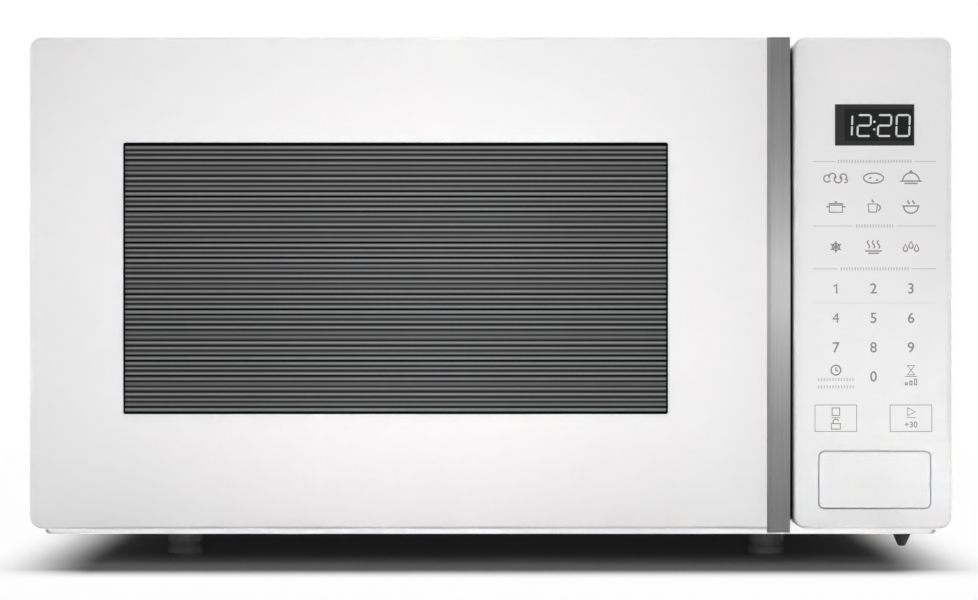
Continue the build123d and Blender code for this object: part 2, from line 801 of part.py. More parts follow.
# High voltage capacitor in its clamp, and the diode on the clamp
capacitor_length = 92.0
capacitor_y = (core_y[1] + capacitor_gap, core_y[1] + capacitor_gap + capacitor_length)
capacitor_x = cavity_right + capacitor_shift
capacitor_width = 52.0
capacitor_height = 32.0
tab_pitch = 22.0
tab_width = 6.3
tab_thick = 0.8
tab_length = 9.0
clamp_thick = 1.2
clamp_setback = 32.0
clamp_width = 24.0
clamp_foot = 40.0
clamp_y = (capacitor_y[0] + clamp_setback, capacitor_y[0] + clamp_setback + clamp_width)
capacitor_z = pan_top + clamp_thick + capacitor_height / 2

with BuildPart() as capacitor:
    with BuildSketch(front_plane(capacitor_y[1])):
        with Locations((capacitor_x, capacitor_z)):
            SlotOverall(capacitor_width, capacitor_height)
    extrude(amount=capacitor_y[1] - capacitor_y[0])
    with BuildSketch(front_plane(capacitor_y[0])):
        with Locations((capacitor_x, capacitor_z)):
            with GridLocations(tab_pitch, 0, 2, 1):
                Rectangle(tab_width, tab_thick)
    extrude(amount=tab_length)
capacitor.part.label = "capacitor"
export_step(capacitor.part, "parts/capacitor.step")

with BuildPart() as capacitor_clamp:
    with BuildSketch(front_plane(clamp_y[1])):
        with Locations((capacitor_x, capacitor_z)):
            SlotOverall(capacitor_width + 2 * clamp_thick, capacitor_height + 2 * clamp_thick)
        with Locations((capacitor_x + capacitor_width / 2, pan_top + clamp_thick / 2)):
            Rectangle(clamp_foot, clamp_thick)
        with Locations((capacitor_x, capacitor_z)):
            SlotOverall(capacitor_width, capacitor_height, mode=Mode.SUBTRACT)
    extrude(amount=clamp_y[1] - clamp_y[0])
capacitor_clamp.part.label = "capacitor_clamp"
export_step(capacitor_clamp.part, "parts/capacitor_clamp.step")

diode_radius = 4.0
diode_length = 20.0
diode_x = capacitor_x + capacitor_width / 2 + 14.0
diode_start = clamp_y[0] + (clamp_width - diode_length) / 2

with BuildPart() as diode:
    rod(diode_x, diode_start, pan_top + clamp_thick + diode_radius, diode_radius, Axis.Y, diode_length)
diode.part.label = "diode"
export_step(diode.part, "parts/diode.step")

# Turntable motor under the cavity floor
motor_top = cavity_floor - sheet
motor_ear_reach = 8.0
motor_ear_width = 12.0
motor_ear_thick = 1.5
motor_hole_reach = 3.0
motor_hole_radius = 2.0
motor_terminal = (18.0, 14.0)
shaft_seat = turntable_motor_height - 3.0

with BuildPart() as turntable_motor:
    with BuildSketch(level(motor_top)):
        with Locations((turn_x, turn_y)):
            Circle(turntable_motor_radius)
            SlotOverall(2 * (turntable_motor_radius + motor_ear_reach), motor_ear_width)
            with GridLocations(2 * (turntable_motor_radius + motor_hole_reach), 0, 2, 1):
                Circle(motor_hole_radius, mode=Mode.SUBTRACT)
    extrude(amount=-motor_ear_thick)
    with BuildSketch(level(motor_top)):
        with Locations((turn_x, turn_y)):
            Circle(turntable_motor_radius)
        with Locations((turn_x, turn_y - turntable_motor_radius)):
            Rectangle(*motor_terminal)
    extrude(amount=-turntable_motor_height)
    rod(turn_x, turn_y, motor_top, shaft_radius + shaft_play, Axis.Z, -shaft_seat, Mode.SUBTRACT)
turntable_motor.part.label = "turntable_motor"
export_step(turntable_motor.part, "parts/turntable_motor.step")

shaft_bottom = motor_top - shaft_seat + fit_gap
coupler_base = roll_floor + 1.0
flat_start = coupler_base - 0.5
with BuildPart() as motor_shaft:
    with BuildSketch(level(shaft_bottom)):
        with Locations((turn_x, turn_y)):
            Circle(shaft_radius)
    extrude(amount=flat_start - shaft_bottom)
    with BuildSketch(level(flat_start)):
        with Locations((turn_x, turn_y)):
            Circle(shaft_radius)
        with Locations((turn_x, turn_y + 2 * shaft_radius - 1.0)):
            Rectangle(2 * shaft_radius, 2 * shaft_radius, mode=Mode.SUBTRACT)
    extrude(amount=coupler_base + coupler_height - 2.0 - flat_start)
motor_shaft.part.label = "motor_shaft"
export_step(motor_shaft.part, "parts/motor_shaft.step")

# Coupler: a three-lobed hub on the shaft's flat, which drives the tray by its stubs
with BuildPart() as drive_coupler:
    with BuildSketch(level(coupler_base)):
        with Locations((turn_x, turn_y)):
            Circle(coupler_hub)
            with PolarLocations((coupler_radius - coupler_lobe) / 2, 3):
                SlotOverall(coupler_radius + coupler_lobe, 2 * coupler_lobe)
    extrude(amount=coupler_height)
    chamfer(drive_coupler.faces().sort_by(Axis.Z)[-1].edges(), 0.8)
    with BuildSketch(level(coupler_base)):
        with Locations((turn_x, turn_y)):
            Circle(shaft_radius + shaft_play)
        with Locations((turn_x, turn_y + 2 * shaft_radius - 1.0 + shaft_play)):
            Rectangle(2 * shaft_radius + 1.0, 2 * shaft_radius, mode=Mode.SUBTRACT)
    extrude(amount=coupler_height - 1.5, mode=Mode.SUBTRACT)
drive_coupler.part.label = "drive_coupler"
export_step(drive_coupler.part, "parts/drive_coupler.step")

# Roller ring: a plastic ring with three axles, and a wheel on each
ring_outer = track_radius - wheel_width / 2 - 3.0
axle_start = ring_outer - 2.0
axle_end = track_radius + wheel_width / 2 + 1.6

with BuildPart() as roller_ring:
    with BuildSketch(level(wheel_z - ring_height / 2)):
        with Locations((turn_x, turn_y)):
            Circle(ring_outer)
            Circle(ring_outer - ring_width, mode=Mode.SUBTRACT)
    extrude(amount=ring_height)
    for spoke in range(wheel_count):
        angle = 90.0 + spoke * 360.0 / wheel_count
        out = Vector(math.cos(math.radians(angle)), math.sin(math.radians(angle)), 0)
        hub = Plane(origin=Vector(turn_x, turn_y, wheel_z) + out * axle_start, z_dir=out)
        with BuildSketch(hub):
            Circle(axle_radius)
        extrude(amount=axle_end - axle_start)
        with BuildSketch(hub):
            Circle(axle_radius + 2.0)
        extrude(amount=track_radius - wheel_width / 2 - fit_gap - axle_start)
roller_ring.part.label = "roller_ring"
export_step(roller_ring.part, "parts/roller_ring.step")

for spoke in range(wheel_count):
    angle = 90.0 + spoke * 360.0 / wheel_count
    out = Vector(math.cos(math.radians(angle)), math.sin(math.radians(angle)), 0)
    hub = Plane(origin=Vector(turn_x, turn_y, wheel_z) + out * (track_radius - wheel_width / 2), z_dir=out)
    with BuildPart() as roller_wheel:
        with BuildSketch(hub):
            Circle(wheel_radius)
            Circle(axle_radius + axle_play, mode=Mode.SUBTRACT)
        extrude(amount=wheel_width)
        chamfer(roller_wheel.edges().filter_by(GeomType.CIRCLE).sort_by(SortBy.RADIUS)[-2:], 0.6)
    roller_wheel.part.label = f"roller_wheel_{spoke + 1}"
    export_step(roller_wheel.part, f"parts/roller_wheel_{spoke + 1}.step")

# Glass tray: a dished disc with a raised rim, and three stubs that the coupler's lobes push
stub_radius = 4.0
stub_circle = 12.5
stub_bottom = coupler_base + 2.0

with BuildPart() as glass_tray:
    with BuildSketch(Plane(origin=(turn_x, turn_y, tray_bottom), x_dir=(1, 0, 0), z_dir=(0, -1, 0))):
        with BuildLine():
            Polyline(
                (0, 0),
                (tray_radius - tray_rim_width, 0),
            )
            Spline(
                (tray_radius - tray_rim_width, 0),
                (tray_radius, tray_rim),
                tangents=[(1, 0), (1, 0.7)],
            )
            Line((tray_radius, tray_rim), (tray_radius - 1.5, tray_rim + tray_lip))
            Spline(
                (tray_radius - 1.5, tray_rim + tray_lip),
                (tray_radius - tray_rim_width - 2.0, tray_thick),
                tangents=[(-1, -0.7), (-1, 0)],
            )
            Polyline(
                (tray_radius - tray_rim_width - 2.0, tray_thick),
                (0, tray_thick),
                (0, 0),
            )
        make_face()
    revolve(axis=Axis((turn_x, turn_y, 0), (0, 0, 1)))
    with BuildSketch(level(stub_bottom)):
        with Locations((turn_x, turn_y)):
            with PolarLocations(stub_circle, 3, start_angle=60):
                Circle(stub_radius)
    extrude(amount=tray_bottom + 1.0 - stub_bottom)
glass_tray.part.label = "glass_tray"
export_step(glass_tray.part, "parts/glass_tray.step")

# Fan: a pressed frame with a round mouth, a bladed rotor and a shaded-pole motor on a bracket
fan_frame_x = (cavity_right + 2.0, cabinet_half - 2.0)
fan_frame_drop = 55.0
fan_frame_rise = 57.0
fan_frame_z = (fan_z - fan_frame_drop, fan_z + fan_frame_rise)
fan_frame_thick = 1.5
fan_mouth = fan_radius + fan_tip_gap
fan_mouth_lip = 8.0
fan_strut = 8.0
fan_strut_x = fan_mouth + fan_strut / 2
fan_strut_back = fan_motor_y - 2.0
fan_motor_size = (46.0, 10.0, 40.0)
fan_coil = (28.0, 10.0)
fan_coil_rise = 15.0
fan_rotor_bore = 12.0
fan_shaft_radius = 2.0
fan_bearing_radius = 6.0

with BuildPart() as fan_frame:
    plate(fan_frame_x, fan_frame_z, (fan_frame_y, fan_frame_y + fan_frame_thick), cabinet_corner)
    with BuildSketch(front_plane(fan_frame_y + fan_frame_thick)):
        with Locations((fan_x, fan_z)):
            Circle(fan_mouth + fan_frame_thick)
    extrude(amount=fan_mouth_lip)
    with BuildSketch(front_plane(fan_frame_y + fan_frame_thick)):
        with Locations((fan_x, fan_z)):
            Circle(fan_mouth)
    extrude(amount=fan_mouth_lip, mode=Mode.SUBTRACT)
    for side in (-1, 1):
        strut_x = fan_x + side * fan_strut_x
        block(
            (strut_x - fan_strut / 2, strut_x + fan_strut / 2),
            (fan_frame_y + fan_frame_thick, fan_strut_back),
            (fan_z - fan_strut / 2, fan_z + fan_strut / 2),
        )
    plate(
        (fan_x - fan_mouth - fan_strut, fan_x + fan_mouth + fan_strut),
        (fan_z - fan_strut / 2, fan_z + fan_strut / 2),
        (fan_strut_back - fan_frame_thick, fan_strut_back),
    )
    rod(fan_x, fan_motor_y, fan_z, fan_bearing_radius + fit_gap, Axis.Y, -fan_strut, Mode.SUBTRACT)
fan_frame.part.label = "fan_frame"
export_step(fan_frame.part, "parts/fan_frame.step")

fan_motor_back = fan_motor_y + fan_motor_size[1]
fan_bearing_front = fan_motor_y - 7.0
with BuildPart() as fan_motor:
    with BuildSketch(front_plane(fan_motor_back)):
        with Locations((fan_x, fan_z)):
            Rectangle(fan_motor_size[0], fan_motor_size[2])
            with Locations((0, fan_coil_rise)):
                Rectangle(*fan_coil)
            Circle(fan_rotor_bore, mode=Mode.SUBTRACT)
    extrude(amount=fan_motor_size[1])
    with BuildSketch(front_plane(fan_motor_back)):
        with Locations((fan_x, fan_z)):
            Circle(fan_rotor_bore)
    extrude(amount=2.0)
    with BuildSketch(front_plane(fan_motor_y)):
        with Locations((fan_x, fan_z)):
            Rectangle(fan_motor_size[0], fan_strut)
    extrude(amount=2.0)
    rod(fan_x, fan_motor_y + 2.0, fan_z, fan_bearing_radius, Axis.Y, fan_bearing_front - fan_motor_y - 2.0)
    rod(
        fan_x,
        fan_bearing_front,
        fan_z,
        fan_shaft_radius + hinge_play,
        Axis.Y,
        fan_motor_back - fan_bearing_front,
        Mode.SUBTRACT,
    )
fan_motor.part.label = "fan_motor"
export_step(fan_motor.part, "parts/fan_motor.step")

fan_hub_front = fan_frame_y - 6.0
fan_hub_back = fan_hub_front + fan_depth
blade_chord = fan_depth - 2.0
blade_thick = 1.4
blade_sections = [
    (fan_hub_radius - 1.0, fan_pitch + 12.0, blade_chord),
    (fan_radius, fan_pitch, blade_chord + 8.0),
]
with BuildPart() as fan_rotor:
    rod(fan_x, fan_hub_front, fan_z, fan_hub_radius, Axis.Y, fan_depth)
    rod(fan_x, fan_hub_back, fan_z, fan_hub_radius - 2.0, Axis.Y, -fan_depth + 3.0, Mode.SUBTRACT)
    rod(fan_x, fan_hub_front, fan_z, fan_shaft_radius + 2.0, Axis.Y, fan_depth - 2.0)
    rod(fan_x, fan_hub_front, fan_z, fan_shaft_radius, Axis.Y, fan_motor_back - 3.0 - fan_hub_front)
    for blade in range(fan_blades):
        turn_angle = math.radians(blade * 360.0 / fan_blades)
        out = Vector(math.cos(turn_angle), 0, math.sin(turn_angle))
        across = Vector(-math.sin(turn_angle), 0, math.cos(turn_angle))
        mid = Vector(fan_x, fan_hub_front + fan_depth / 2, fan_z)
        chord_sections = []
        for reach, pitch, chord in blade_sections:
            lean = math.radians(pitch)
            along = across * math.cos(lean) + Vector(0, 1, 0) * math.sin(lean)
            with BuildSketch(Plane(origin=mid + out * reach, x_dir=along, z_dir=out)) as chord_section:
                Rectangle(chord, blade_thick)
            chord_sections.append(chord_section.sketch)
        loft(chord_sections)
fan_rotor.part.label = "fan_rotor"
export_step(fan_rotor.part, "parts/fan_rotor.step")

# Lamp in its holder outside the cavity's perforated corner, and two thermal cut-outs
holder_x = (cavity_right + sheet, cavity_right + sheet + 1.2)
holder_radius = 15.0
holder_wall = 2.0
holder_mouth = 8.0
holder_flange = (40.0, 34.0)
holder_length = 40.0
holder_edge = 3.0
lamp_back = 36.0
with BuildPart() as lamp_holder:
    block(
        holder_x,
        (lamp_y - holder_flange[0] / 2, lamp_y + holder_flange[0] / 2),
        (lamp_z - holder_flange[1] / 2, lamp_z + holder_flange[1] / 2),
    )
    rod(holder_x[0], lamp_y, lamp_z, holder_radius, Axis.X, holder_mouth)
    rod(holder_x[0], lamp_y, lamp_z, holder_radius - holder_wall, Axis.X, holder_mouth, Mode.SUBTRACT)
    block(
        (holder_x[0] + holder_mouth, holder_x[0] + holder_length),
        (lamp_y - holder_radius, lamp_y + holder_radius),
        (lamp_z - holder_radius, lamp_z + holder_radius),
    )
    fillet(lamp_holder.faces().sort_by(Axis.X)[-1].edges(), holder_edge)
    rod(holder_x[0], lamp_y, lamp_z, holder_radius - holder_wall, Axis.X, lamp_back, Mode.SUBTRACT)
lamp_holder.part.label = "lamp_holder"
export_step(lamp_holder.part, "parts/lamp_holder.step")

lamp_base_radius = 7.0
lamp_base_length = 12.0
lamp_shoulder = 3.0
lamp_bulb_radius = 9.0
lamp_tip = 5.0
with BuildPart() as cavity_lamp:
    with BuildSketch(Plane(origin=(holder_x[0], lamp_y, lamp_z), x_dir=(1, 0, 0), z_dir=(0, -1, 0))):
        with BuildLine():
            Polyline(
                (lamp_back, 0),
                (lamp_back, lamp_base_radius),
                (lamp_back - lamp_base_length, lamp_base_radius),
                (lamp_back - lamp_base_length - lamp_shoulder, lamp_bulb_radius),
                (lamp_tip + lamp_bulb_radius, lamp_bulb_radius),
            )
            JernArc((lamp_tip + lamp_bulb_radius, lamp_bulb_radius), (-1, 0), lamp_bulb_radius, 90)
            Line((lamp_tip, 0), (lamp_back, 0))
        make_face()
    revolve(axis=Axis((holder_x[0], lamp_y, lamp_z), (1, 0, 0)))
cavity_lamp.part.label = "cavity_lamp"
export_step(cavity_lamp.part, "parts/cavity_lamp.step")

cutout_front = (90.0, -74.0)
cutout_rear = (-70.0, 46.0)
cutout_spots = [
    (turn_x + cutout_front[0], turn_y + cutout_front[1]),
    (turn_x + cutout_rear[0], turn_y + cutout_rear[1]),
]
cutout_radius = 8.0
cutout_height = 9.0
cutout_ear = (34.0, 11.0)
cutout_ear_thick = 1.0
cutout_tab = (0.8, 5.0)
cutout_tab_pitch = 9.0
cutout_tab_height = 6.0
with BuildPart() as thermal_cutouts:
    for cutout_x, cutout_y in cutout_spots:
        with BuildSketch(level(cavity_top + sheet)):
            with Locations((cutout_x, cutout_y)):
                SlotOverall(*cutout_ear)
                Circle(cutout_radius)
        extrude(amount=cutout_ear_thick)
        with BuildSketch(level(cavity_top + sheet)):
            with Locations((cutout_x, cutout_y)):
                Circle(cutout_radius)
        extrude(amount=cutout_height)
        with BuildSketch(level(cavity_top + sheet + cutout_height)):
            with Locations((cutout_x, cutout_y)):
                with GridLocations(cutout_tab_pitch, 0, 2, 1):
                    Rectangle(*cutout_tab)
        extrude(amount=cutout_tab_height)
thermal_cutouts.part.label = "thermal_cutouts"
export_step(thermal_cutouts.part, "parts/thermal_cutouts.step")

# Hinge brackets behind the front plate: an arm comes through the plate and carries the pin
bracket_inset = 6.0
bracket_x = (-cabinet_half + bracket_inset, outer_x[0] - cavity_flange - 0.4)
bracket_thick = 2.0
bracket_height = 27.0
bracket_screw_inset = 5.0
bracket_screw_rise = 6.0
bracket_y = (plate_back, plate_back + bracket_thick)
hinge_pin_length = hinge_arm_thick + fit_gap + hinge_boss_length - 0.5
lower_boss_bottom = lower_arm_z + hinge_arm_thick + fit_gap
lower_boss_z = (lower_boss_bottom, lower_boss_bottom + hinge_boss_length)
upper_boss_z = (upper_arm_z - fit_gap - hinge_boss_length, upper_arm_z - fit_gap)
bush_radius = hinge_pin_radius + hinge_play + hinge_bush_wall

bracket_screw_x = bracket_x[1] - bracket_screw_inset
lower_bracket_z = (lower_arm_z, lower_arm_z + bracket_height)
upper_bracket_z = (upper_arm_z + hinge_arm_thick - bracket_height, upper_arm_z + hinge_arm_thick)
bracket_screw_levels = [lower_bracket_z[1] - bracket_screw_rise, upper_bracket_z[0] + bracket_screw_rise]

with BuildPart() as hinge_brackets:
    for arm_z, bracket_z in ((lower_arm_z, lower_bracket_z), (upper_arm_z, upper_bracket_z)):
        with BuildSketch(level(arm_z)):
            with Locations((pivot_x, (pivot_y + bracket_y[1]) / 2)):
                Rectangle(hinge_arm_width, bracket_y[1] - pivot_y)
            with Locations((pivot_x, pivot_y)):
                Circle(hinge_arm_width / 2)
                Circle(hinge_pin_radius, mode=Mode.SUBTRACT)
        extrude(amount=hinge_arm_thick)
        block(bracket_x, bracket_y, bracket_z)
    for screw_z in bracket_screw_levels:
        rod(bracket_screw_x, bracket_y[1], screw_z, screw_radius, Axis.Y, -bracket_thick, Mode.SUBTRACT)
hinge_brackets.part.label = "hinge_brackets"
export_step(hinge_brackets.part, "parts/hinge_brackets.step")

with BuildPart() as hinge_pins:
    rod(pivot_x, pivot_y, lower_arm_z, hinge_pin_radius, Axis.Z, hinge_pin_length)
    rod(pivot_x, pivot_y, upper_arm_z + hinge_arm_thick, hinge_pin_radius, Axis.Z, -hinge_pin_length)
hinge_pins.part.label = "hinge_pins"
export_step(hinge_pins.part, "parts/hinge_pins.step")

with BuildPart() as hinge_bushes:
    for bush_z in (lower_boss_z[0], upper_boss_z[0]):
        with BuildSketch(level(bush_z)):
            with Locations((pivot_x, pivot_y)):
                Circle(bush_radius)
                Circle(hinge_pin_radius + hinge_play, mode=Mode.SUBTRACT)
        extrude(amount=hinge_boss_length)
hinge_bushes.part.label = "hinge_bushes"
export_step(hinge_bushes.part, "parts/hinge_bushes.step")

# Screws: in the rear panel, and through the brackets from behind the front plate
with BuildPart() as steel_screws:
    for spot_x, spot_z in rear_screw_spots:
        rod(spot_x, cabinet_back, spot_z, screw_head_radius, Axis.Y, screw_head_height)
        rod(spot_x, cabinet_back, spot_z, screw_radius, Axis.Y, -8.0)
    for screw_z in bracket_screw_levels:
        rod(bracket_screw_x, bracket_y[1], screw_z, screw_head_radius, Axis.Y, screw_head_height)
        rod(bracket_screw_x, bracket_y[1], screw_z, screw_radius, Axis.Y, -bracket_thick)
steel_screws.part.label = "steel_screws"
export_step(steel_screws.part, "parts/steel_screws.step")

# Door frame: the moulded front with its window, walls, hinge bosses and latch guides
arm_notch_depth = 9.4
hook_bar_y = (hook_bar_front, hook_bar_front + hook_bar_depth)
guide_levels = [hook_bottom + 36.0, hook_bottom + hook_pitch - 24.0]
guide_height = 10.0
spring_wire = 0.6
latch_spring_radius = 3.0
latch_spring_length = 26.0
latch_spring_y = hook_bar_y[1] + 4.0
spring_anchor_z = (guide_levels[0] - 8.5, guide_levels[0] - 6.0)
spring_seat_z = (spring_anchor_z[1] + latch_spring_length, spring_anchor_z[1] + latch_spring_length + 3.0)
boss_x = (door_left + hinge_wall - 1.0, pivot_x + hinge_boss_radius)

with BuildPart() as door_frame:
    with BuildSketch(front_plane(door_back)):
        with Locations((door_mid_x, fascia_mid_z)):
            RectangleRounded(door_width, fascia_height, fascia_corner)
    extrude(amount=fascia_depth - seal_gap)
    fillet(door_frame.faces().sort_by(Axis.Y)[0].edges(), fascia_edge)
    block(
        (door_left + hinge_wall, door_right - moulding),
        (fascia_front + moulding, door_back),
        (fascia_bottom + moulding, fascia_top - moulding),
        Mode.SUBTRACT,
    )
    for boss_z in (lower_boss_z, upper_boss_z):
        block(boss_x, (fascia_front + moulding, pivot_y), boss_z)
        rod(pivot_x, pivot_y, boss_z[0], hinge_boss_radius, Axis.Z, hinge_boss_length)
        rod(pivot_x, pivot_y, boss_z[0], bush_radius, Axis.Z, hinge_boss_length, Mode.SUBTRACT)
    for arm_z in arm_levels:
        block(
            (door_left, door_left + hinge_wall),
            (pivot_y - arm_notch_depth, door_back),
            (arm_z - arm_slot_play, arm_z + hinge_arm_thick + arm_slot_play),
            Mode.SUBTRACT,
        )
    with BuildSketch(level(fascia_bottom)):
        with BuildLine():
            Polyline(
                (door_left, door_back),
                (door_left + hinge_wall, door_back),
                (door_left, door_back - hinge_wall),
                (door_left, door_back),
            )
        make_face()
    extrude(amount=fascia_height, mode=Mode.SUBTRACT)
    plate(window_x, window_z, (fascia_front, fascia_front + moulding), window_corner, Mode.SUBTRACT)
    for guide_z in guide_levels:
        for side in (-1, 1):
            wall_x = hook_x + side * (hook_width / 2 + fit_gap + guide_wall / 2)
            block(
                (wall_x - guide_wall / 2, wall_x + guide_wall / 2),
                (fascia_front + moulding, hook_bar_y[1]),
                (guide_z, guide_z + guide_height),
            )
    block(
        (hook_x - latch_spring_radius, door_right - moulding),
        (hook_bar_y[1] + 0.5, latch_spring_y + latch_spring_radius + 1.0),
        spring_anchor_z,
    )
door_frame.part.label = "door_frame"
export_step(door_frame.part, "parts/door_frame.step")

# Window pane: its raised middle fills the opening from behind
pane_x = (window_x[0] - pane_lap, window_x[1] + pane_lap)
pane_z = (window_z[0] - pane_lap, window_z[1] + pane_lap)
pane_y = (fascia_front + moulding, fascia_front + moulding + pane_thickness)

with BuildPart() as door_window:
    plate(pane_x, pane_z, pane_y, pane_corner)
    plate(
        (window_x[0] + fit_gap, window_x[1] - fit_gap),
        (window_z[0] + fit_gap, window_z[1] - fit_gap),
        (fascia_front + pane_sink, pane_y[0]),
        window_corner - fit_gap,
    )
door_window.part.label = "door_window"
export_step(door_window.part, "parts/door_window.step")

# Choke panel: the steel inner door, pressed for the screen and folded round the rim into a comb of teeth
seal_x = (cavity_left - choke_seal, cavity_right + choke_seal)
seal_z = (cavity_floor - choke_seal, cavity_top + choke_seal)
choke_x = (seal_x[0] - choke_channel, seal_x[1] + choke_channel)
choke_z = (seal_z[0] - choke_channel, seal_z[1] + choke_channel)
choke_front = door_back - choke_depth
choke_wall_back = door_back - choke_recess
screen_x = (pane_x[0] - screen_margin, pane_x[1] + screen_margin)
screen_z = (pane_z[0] - screen_margin, pane_z[1] + screen_margin)

with BuildPart() as choke_panel:
    plate(seal_x, seal_z, (door_back - sheet, door_back))
    plate(
        (screen_x[0] - sheet, screen_x[1] + sheet),
        (screen_z[0] - sheet, screen_z[1] + sheet),
        (door_back - screen_press - sheet, door_back),
    )
    plate(screen_x, screen_z, (door_back - screen_press, door_back), 0.0, Mode.SUBTRACT)
    frame_ring(seal_x, seal_z, sheet, (choke_front, door_back))
    frame_ring(choke_x, choke_z, choke_channel + sheet, (choke_front, choke_front + sheet))
    frame_ring(choke_x, choke_z, sheet, (choke_front, choke_wall_back))
    frame_ring(choke_x, choke_z, choke_lip, (choke_wall_back - sheet, choke_wall_back))
    gap_y = (choke_front + 2 * sheet, choke_wall_back)
    columns = int((choke_x[1] - choke_x[0] - tooth_pitch) / tooth_pitch)
    rows = int((choke_z[1] - choke_z[0] - tooth_pitch) / tooth_pitch)
    with BuildSketch(level(choke_z[0])):
        with Locations((sum(choke_x) / 2, sum(gap_y) / 2)):
            with GridLocations(tooth_pitch, 0, columns, 1):
                Rectangle(tooth_gap, gap_y[1] - gap_y[0])
    extrude(amount=choke_lip, mode=Mode.SUBTRACT)
    with BuildSketch(level(choke_z[1] - choke_lip)):
        with Locations((sum(choke_x) / 2, sum(gap_y) / 2)):
            with GridLocations(tooth_pitch, 0, columns, 1):
                Rectangle(tooth_gap, gap_y[1] - gap_y[0])
    extrude(amount=choke_lip, mode=Mode.SUBTRACT)
    for comb_x in (choke_x[0], choke_x[1] - choke_lip):
        with BuildSketch(side_plane(comb_x)):
            with Locations((sum(gap_y) / 2, sum(choke_z) / 2)):
                with GridLocations(0, tooth_pitch, 1, rows):
                    Rectangle(gap_y[1] - gap_y[0], tooth_gap)
        extrude(amount=choke_lip, mode=Mode.SUBTRACT)
choke_panel.part.label = "choke_panel"
export_step(choke_panel.part, "parts/choke_panel.step")

# Inner film over the screen, and the moulded cover that closes the door's back round the steel
with BuildPart() as door_film:
    plate(
        (screen_x[0] + fit_gap, screen_x[1] - fit_gap),
        (screen_z[0] + fit_gap, screen_z[1] - fit_gap),
        (door_back - screen_press, door_back - screen_press + film_thickness),
    )
door_film.part.label = "door_film"
export_step(door_film.part, "parts/door_film.step")

cover_thick = 1.2
cover_x = (door_left + hinge_wall + fit_gap, door_right - moulding - fit_gap)
cover_z = (lower_arm_z + hinge_arm_thick + 1.0, upper_arm_z - 1.0)
hook_slot_play = 1.2
hook_sweep = hook_height + barb_drop + hook_travel

with BuildPart() as choke_cover:
    plate(cover_x, cover_z, (door_back - cover_thick, door_back))
    plate(
        (seal_x[0] - fit_gap, seal_x[1] + fit_gap),
        (seal_z[0] - fit_gap, seal_z[1] + fit_gap),
        (door_back - cover_thick, door_back),
        0.0,
        Mode.SUBTRACT,
    )
    for lift in (0, hook_pitch):
        slot_low = hook_bottom - barb_drop + lift - hook_slot_play
        plate(
            (hook_x - hook_width / 2 - hook_slot_play, hook_x + hook_width / 2 + hook_slot_play),
            (slot_low, slot_low + hook_sweep + 2 * hook_slot_play),
            (door_back - cover_thick, door_back),
            0.0,
            Mode.SUBTRACT,
        )
choke_cover.part.label = "choke_cover"
export_step(choke_cover.part, "parts/choke_cover.step")

# Latch: a bar that slides in the door's guides, with two barbed hooks, and its spring
hook_bar_head = 10.0
hook_bar_z = (hook_bottom - barb_drop, hook_bottom + hook_pitch + hook_height + hook_bar_head)
hook_arm_x = (hook_x - hook_width / 2, hook_x + hook_width / 2)
nose = 3.0

with BuildPart() as latch_hook:
    block(hook_arm_x, hook_bar_y, hook_bar_z)
    for lift in (0, hook_pitch):
        with BuildSketch(side_plane(hook_arm_x[0])):
            with BuildLine():
                Polyline(
                    (hook_bar_y[1], hook_bottom + lift - 3.0),
                    (hook_bar_y[1] + 3.0, hook_bottom + lift),
                    (hook_back - barb_length, hook_bottom + lift),
                    (hook_back - barb_length, hook_bottom - barb_drop + lift),
                    (hook_back - nose, hook_bottom - barb_drop + lift),
                    (hook_back, hook_bottom + lift),
                    (hook_back, hook_bottom + lift + hook_height - nose),
                    (hook_back - nose, hook_bottom + lift + hook_height),
                    (hook_bar_y[1], hook_bottom + lift + hook_height),
                    (hook_bar_y[1], hook_bottom + lift - 3.0),
                )
            make_face()
        extrude(amount=hook_width)
    block(hook_arm_x, (hook_bar_y[1], latch_spring_y + latch_spring_radius + 1.0), spring_seat_z)
latch_hook.part.label = "latch_hook"
export_step(latch_hook.part, "parts/latch_hook.step")

with BuildPart() as latch_spring:
    with BuildSketch(level(spring_anchor_z[1])):
        with Locations((hook_x, latch_spring_y)):
            Circle(latch_spring_radius)
            Circle(latch_spring_radius - spring_wire, mode=Mode.SUBTRACT)
    extrude(amount=latch_spring_length)
latch_spring.part.label = "latch_spring"
export_step(latch_spring.part, "parts/latch_spring.step")

# Latch board behind the front plate: the catches, the switch seats and the lever's bearings
latch_board_x = (outer_x[1] + cavity_flange + 3.0, hook_x + hook_width / 2 + 9.0)
latch_board_z = (hook_slot_bottoms[0] - 34.0, hook_slot_bottoms[1] + hook_slot_height + 10.0)
latch_board_y = (plate_back, plate_back + 2.5)
ledge_x = (hook_x + 0.6, hook_x + hook_width / 2 + slot_play)
cheek_x = (ledge_x[1], ledge_x[1] + 3.0)
cheek_rise = 14.0
bearing_gap = 0.05
bearing_wall = 3.0
bearing_left_x = (hook_x - hook_width / 2 - 6.0, hook_x - hook_width / 2 - 3.0)
bearing_right_x = (stem_x + stem_width / 2 + 4.0, stem_x + stem_width / 2 + 7.0)
bearing_outer = lever_radius + bearing_gap + bearing_wall
stem_slot_x = (stem_x - stem_width / 2 - 2.0, stem_x + stem_width / 2 + 2.0)
latch_tail_z = (lever_z - bearing_outer, lever_z + bearing_outer)
switch_size_y = 26.0
switch_size_z = 15.0
switch_width = 6.0
switch_y = (ledge_back + 1.0, ledge_back + 1.0 + switch_size_y)
plunger_gap = 0.3
plunger_proud = 0.4
plunger_length = 2.5
plunger_width = 2.8
plunger_play = 0.2
plunger_setback = 5.0
plunger_pit = 4.0
terminal_length = 6.0
lower_switch_x = ledge_x[1] - switch_width / 2
switch_top_upper = hook_bottom + hook_pitch - barb_drop - plunger_gap - plunger_proud
switch_top_lower = switch_top_upper - hook_pitch
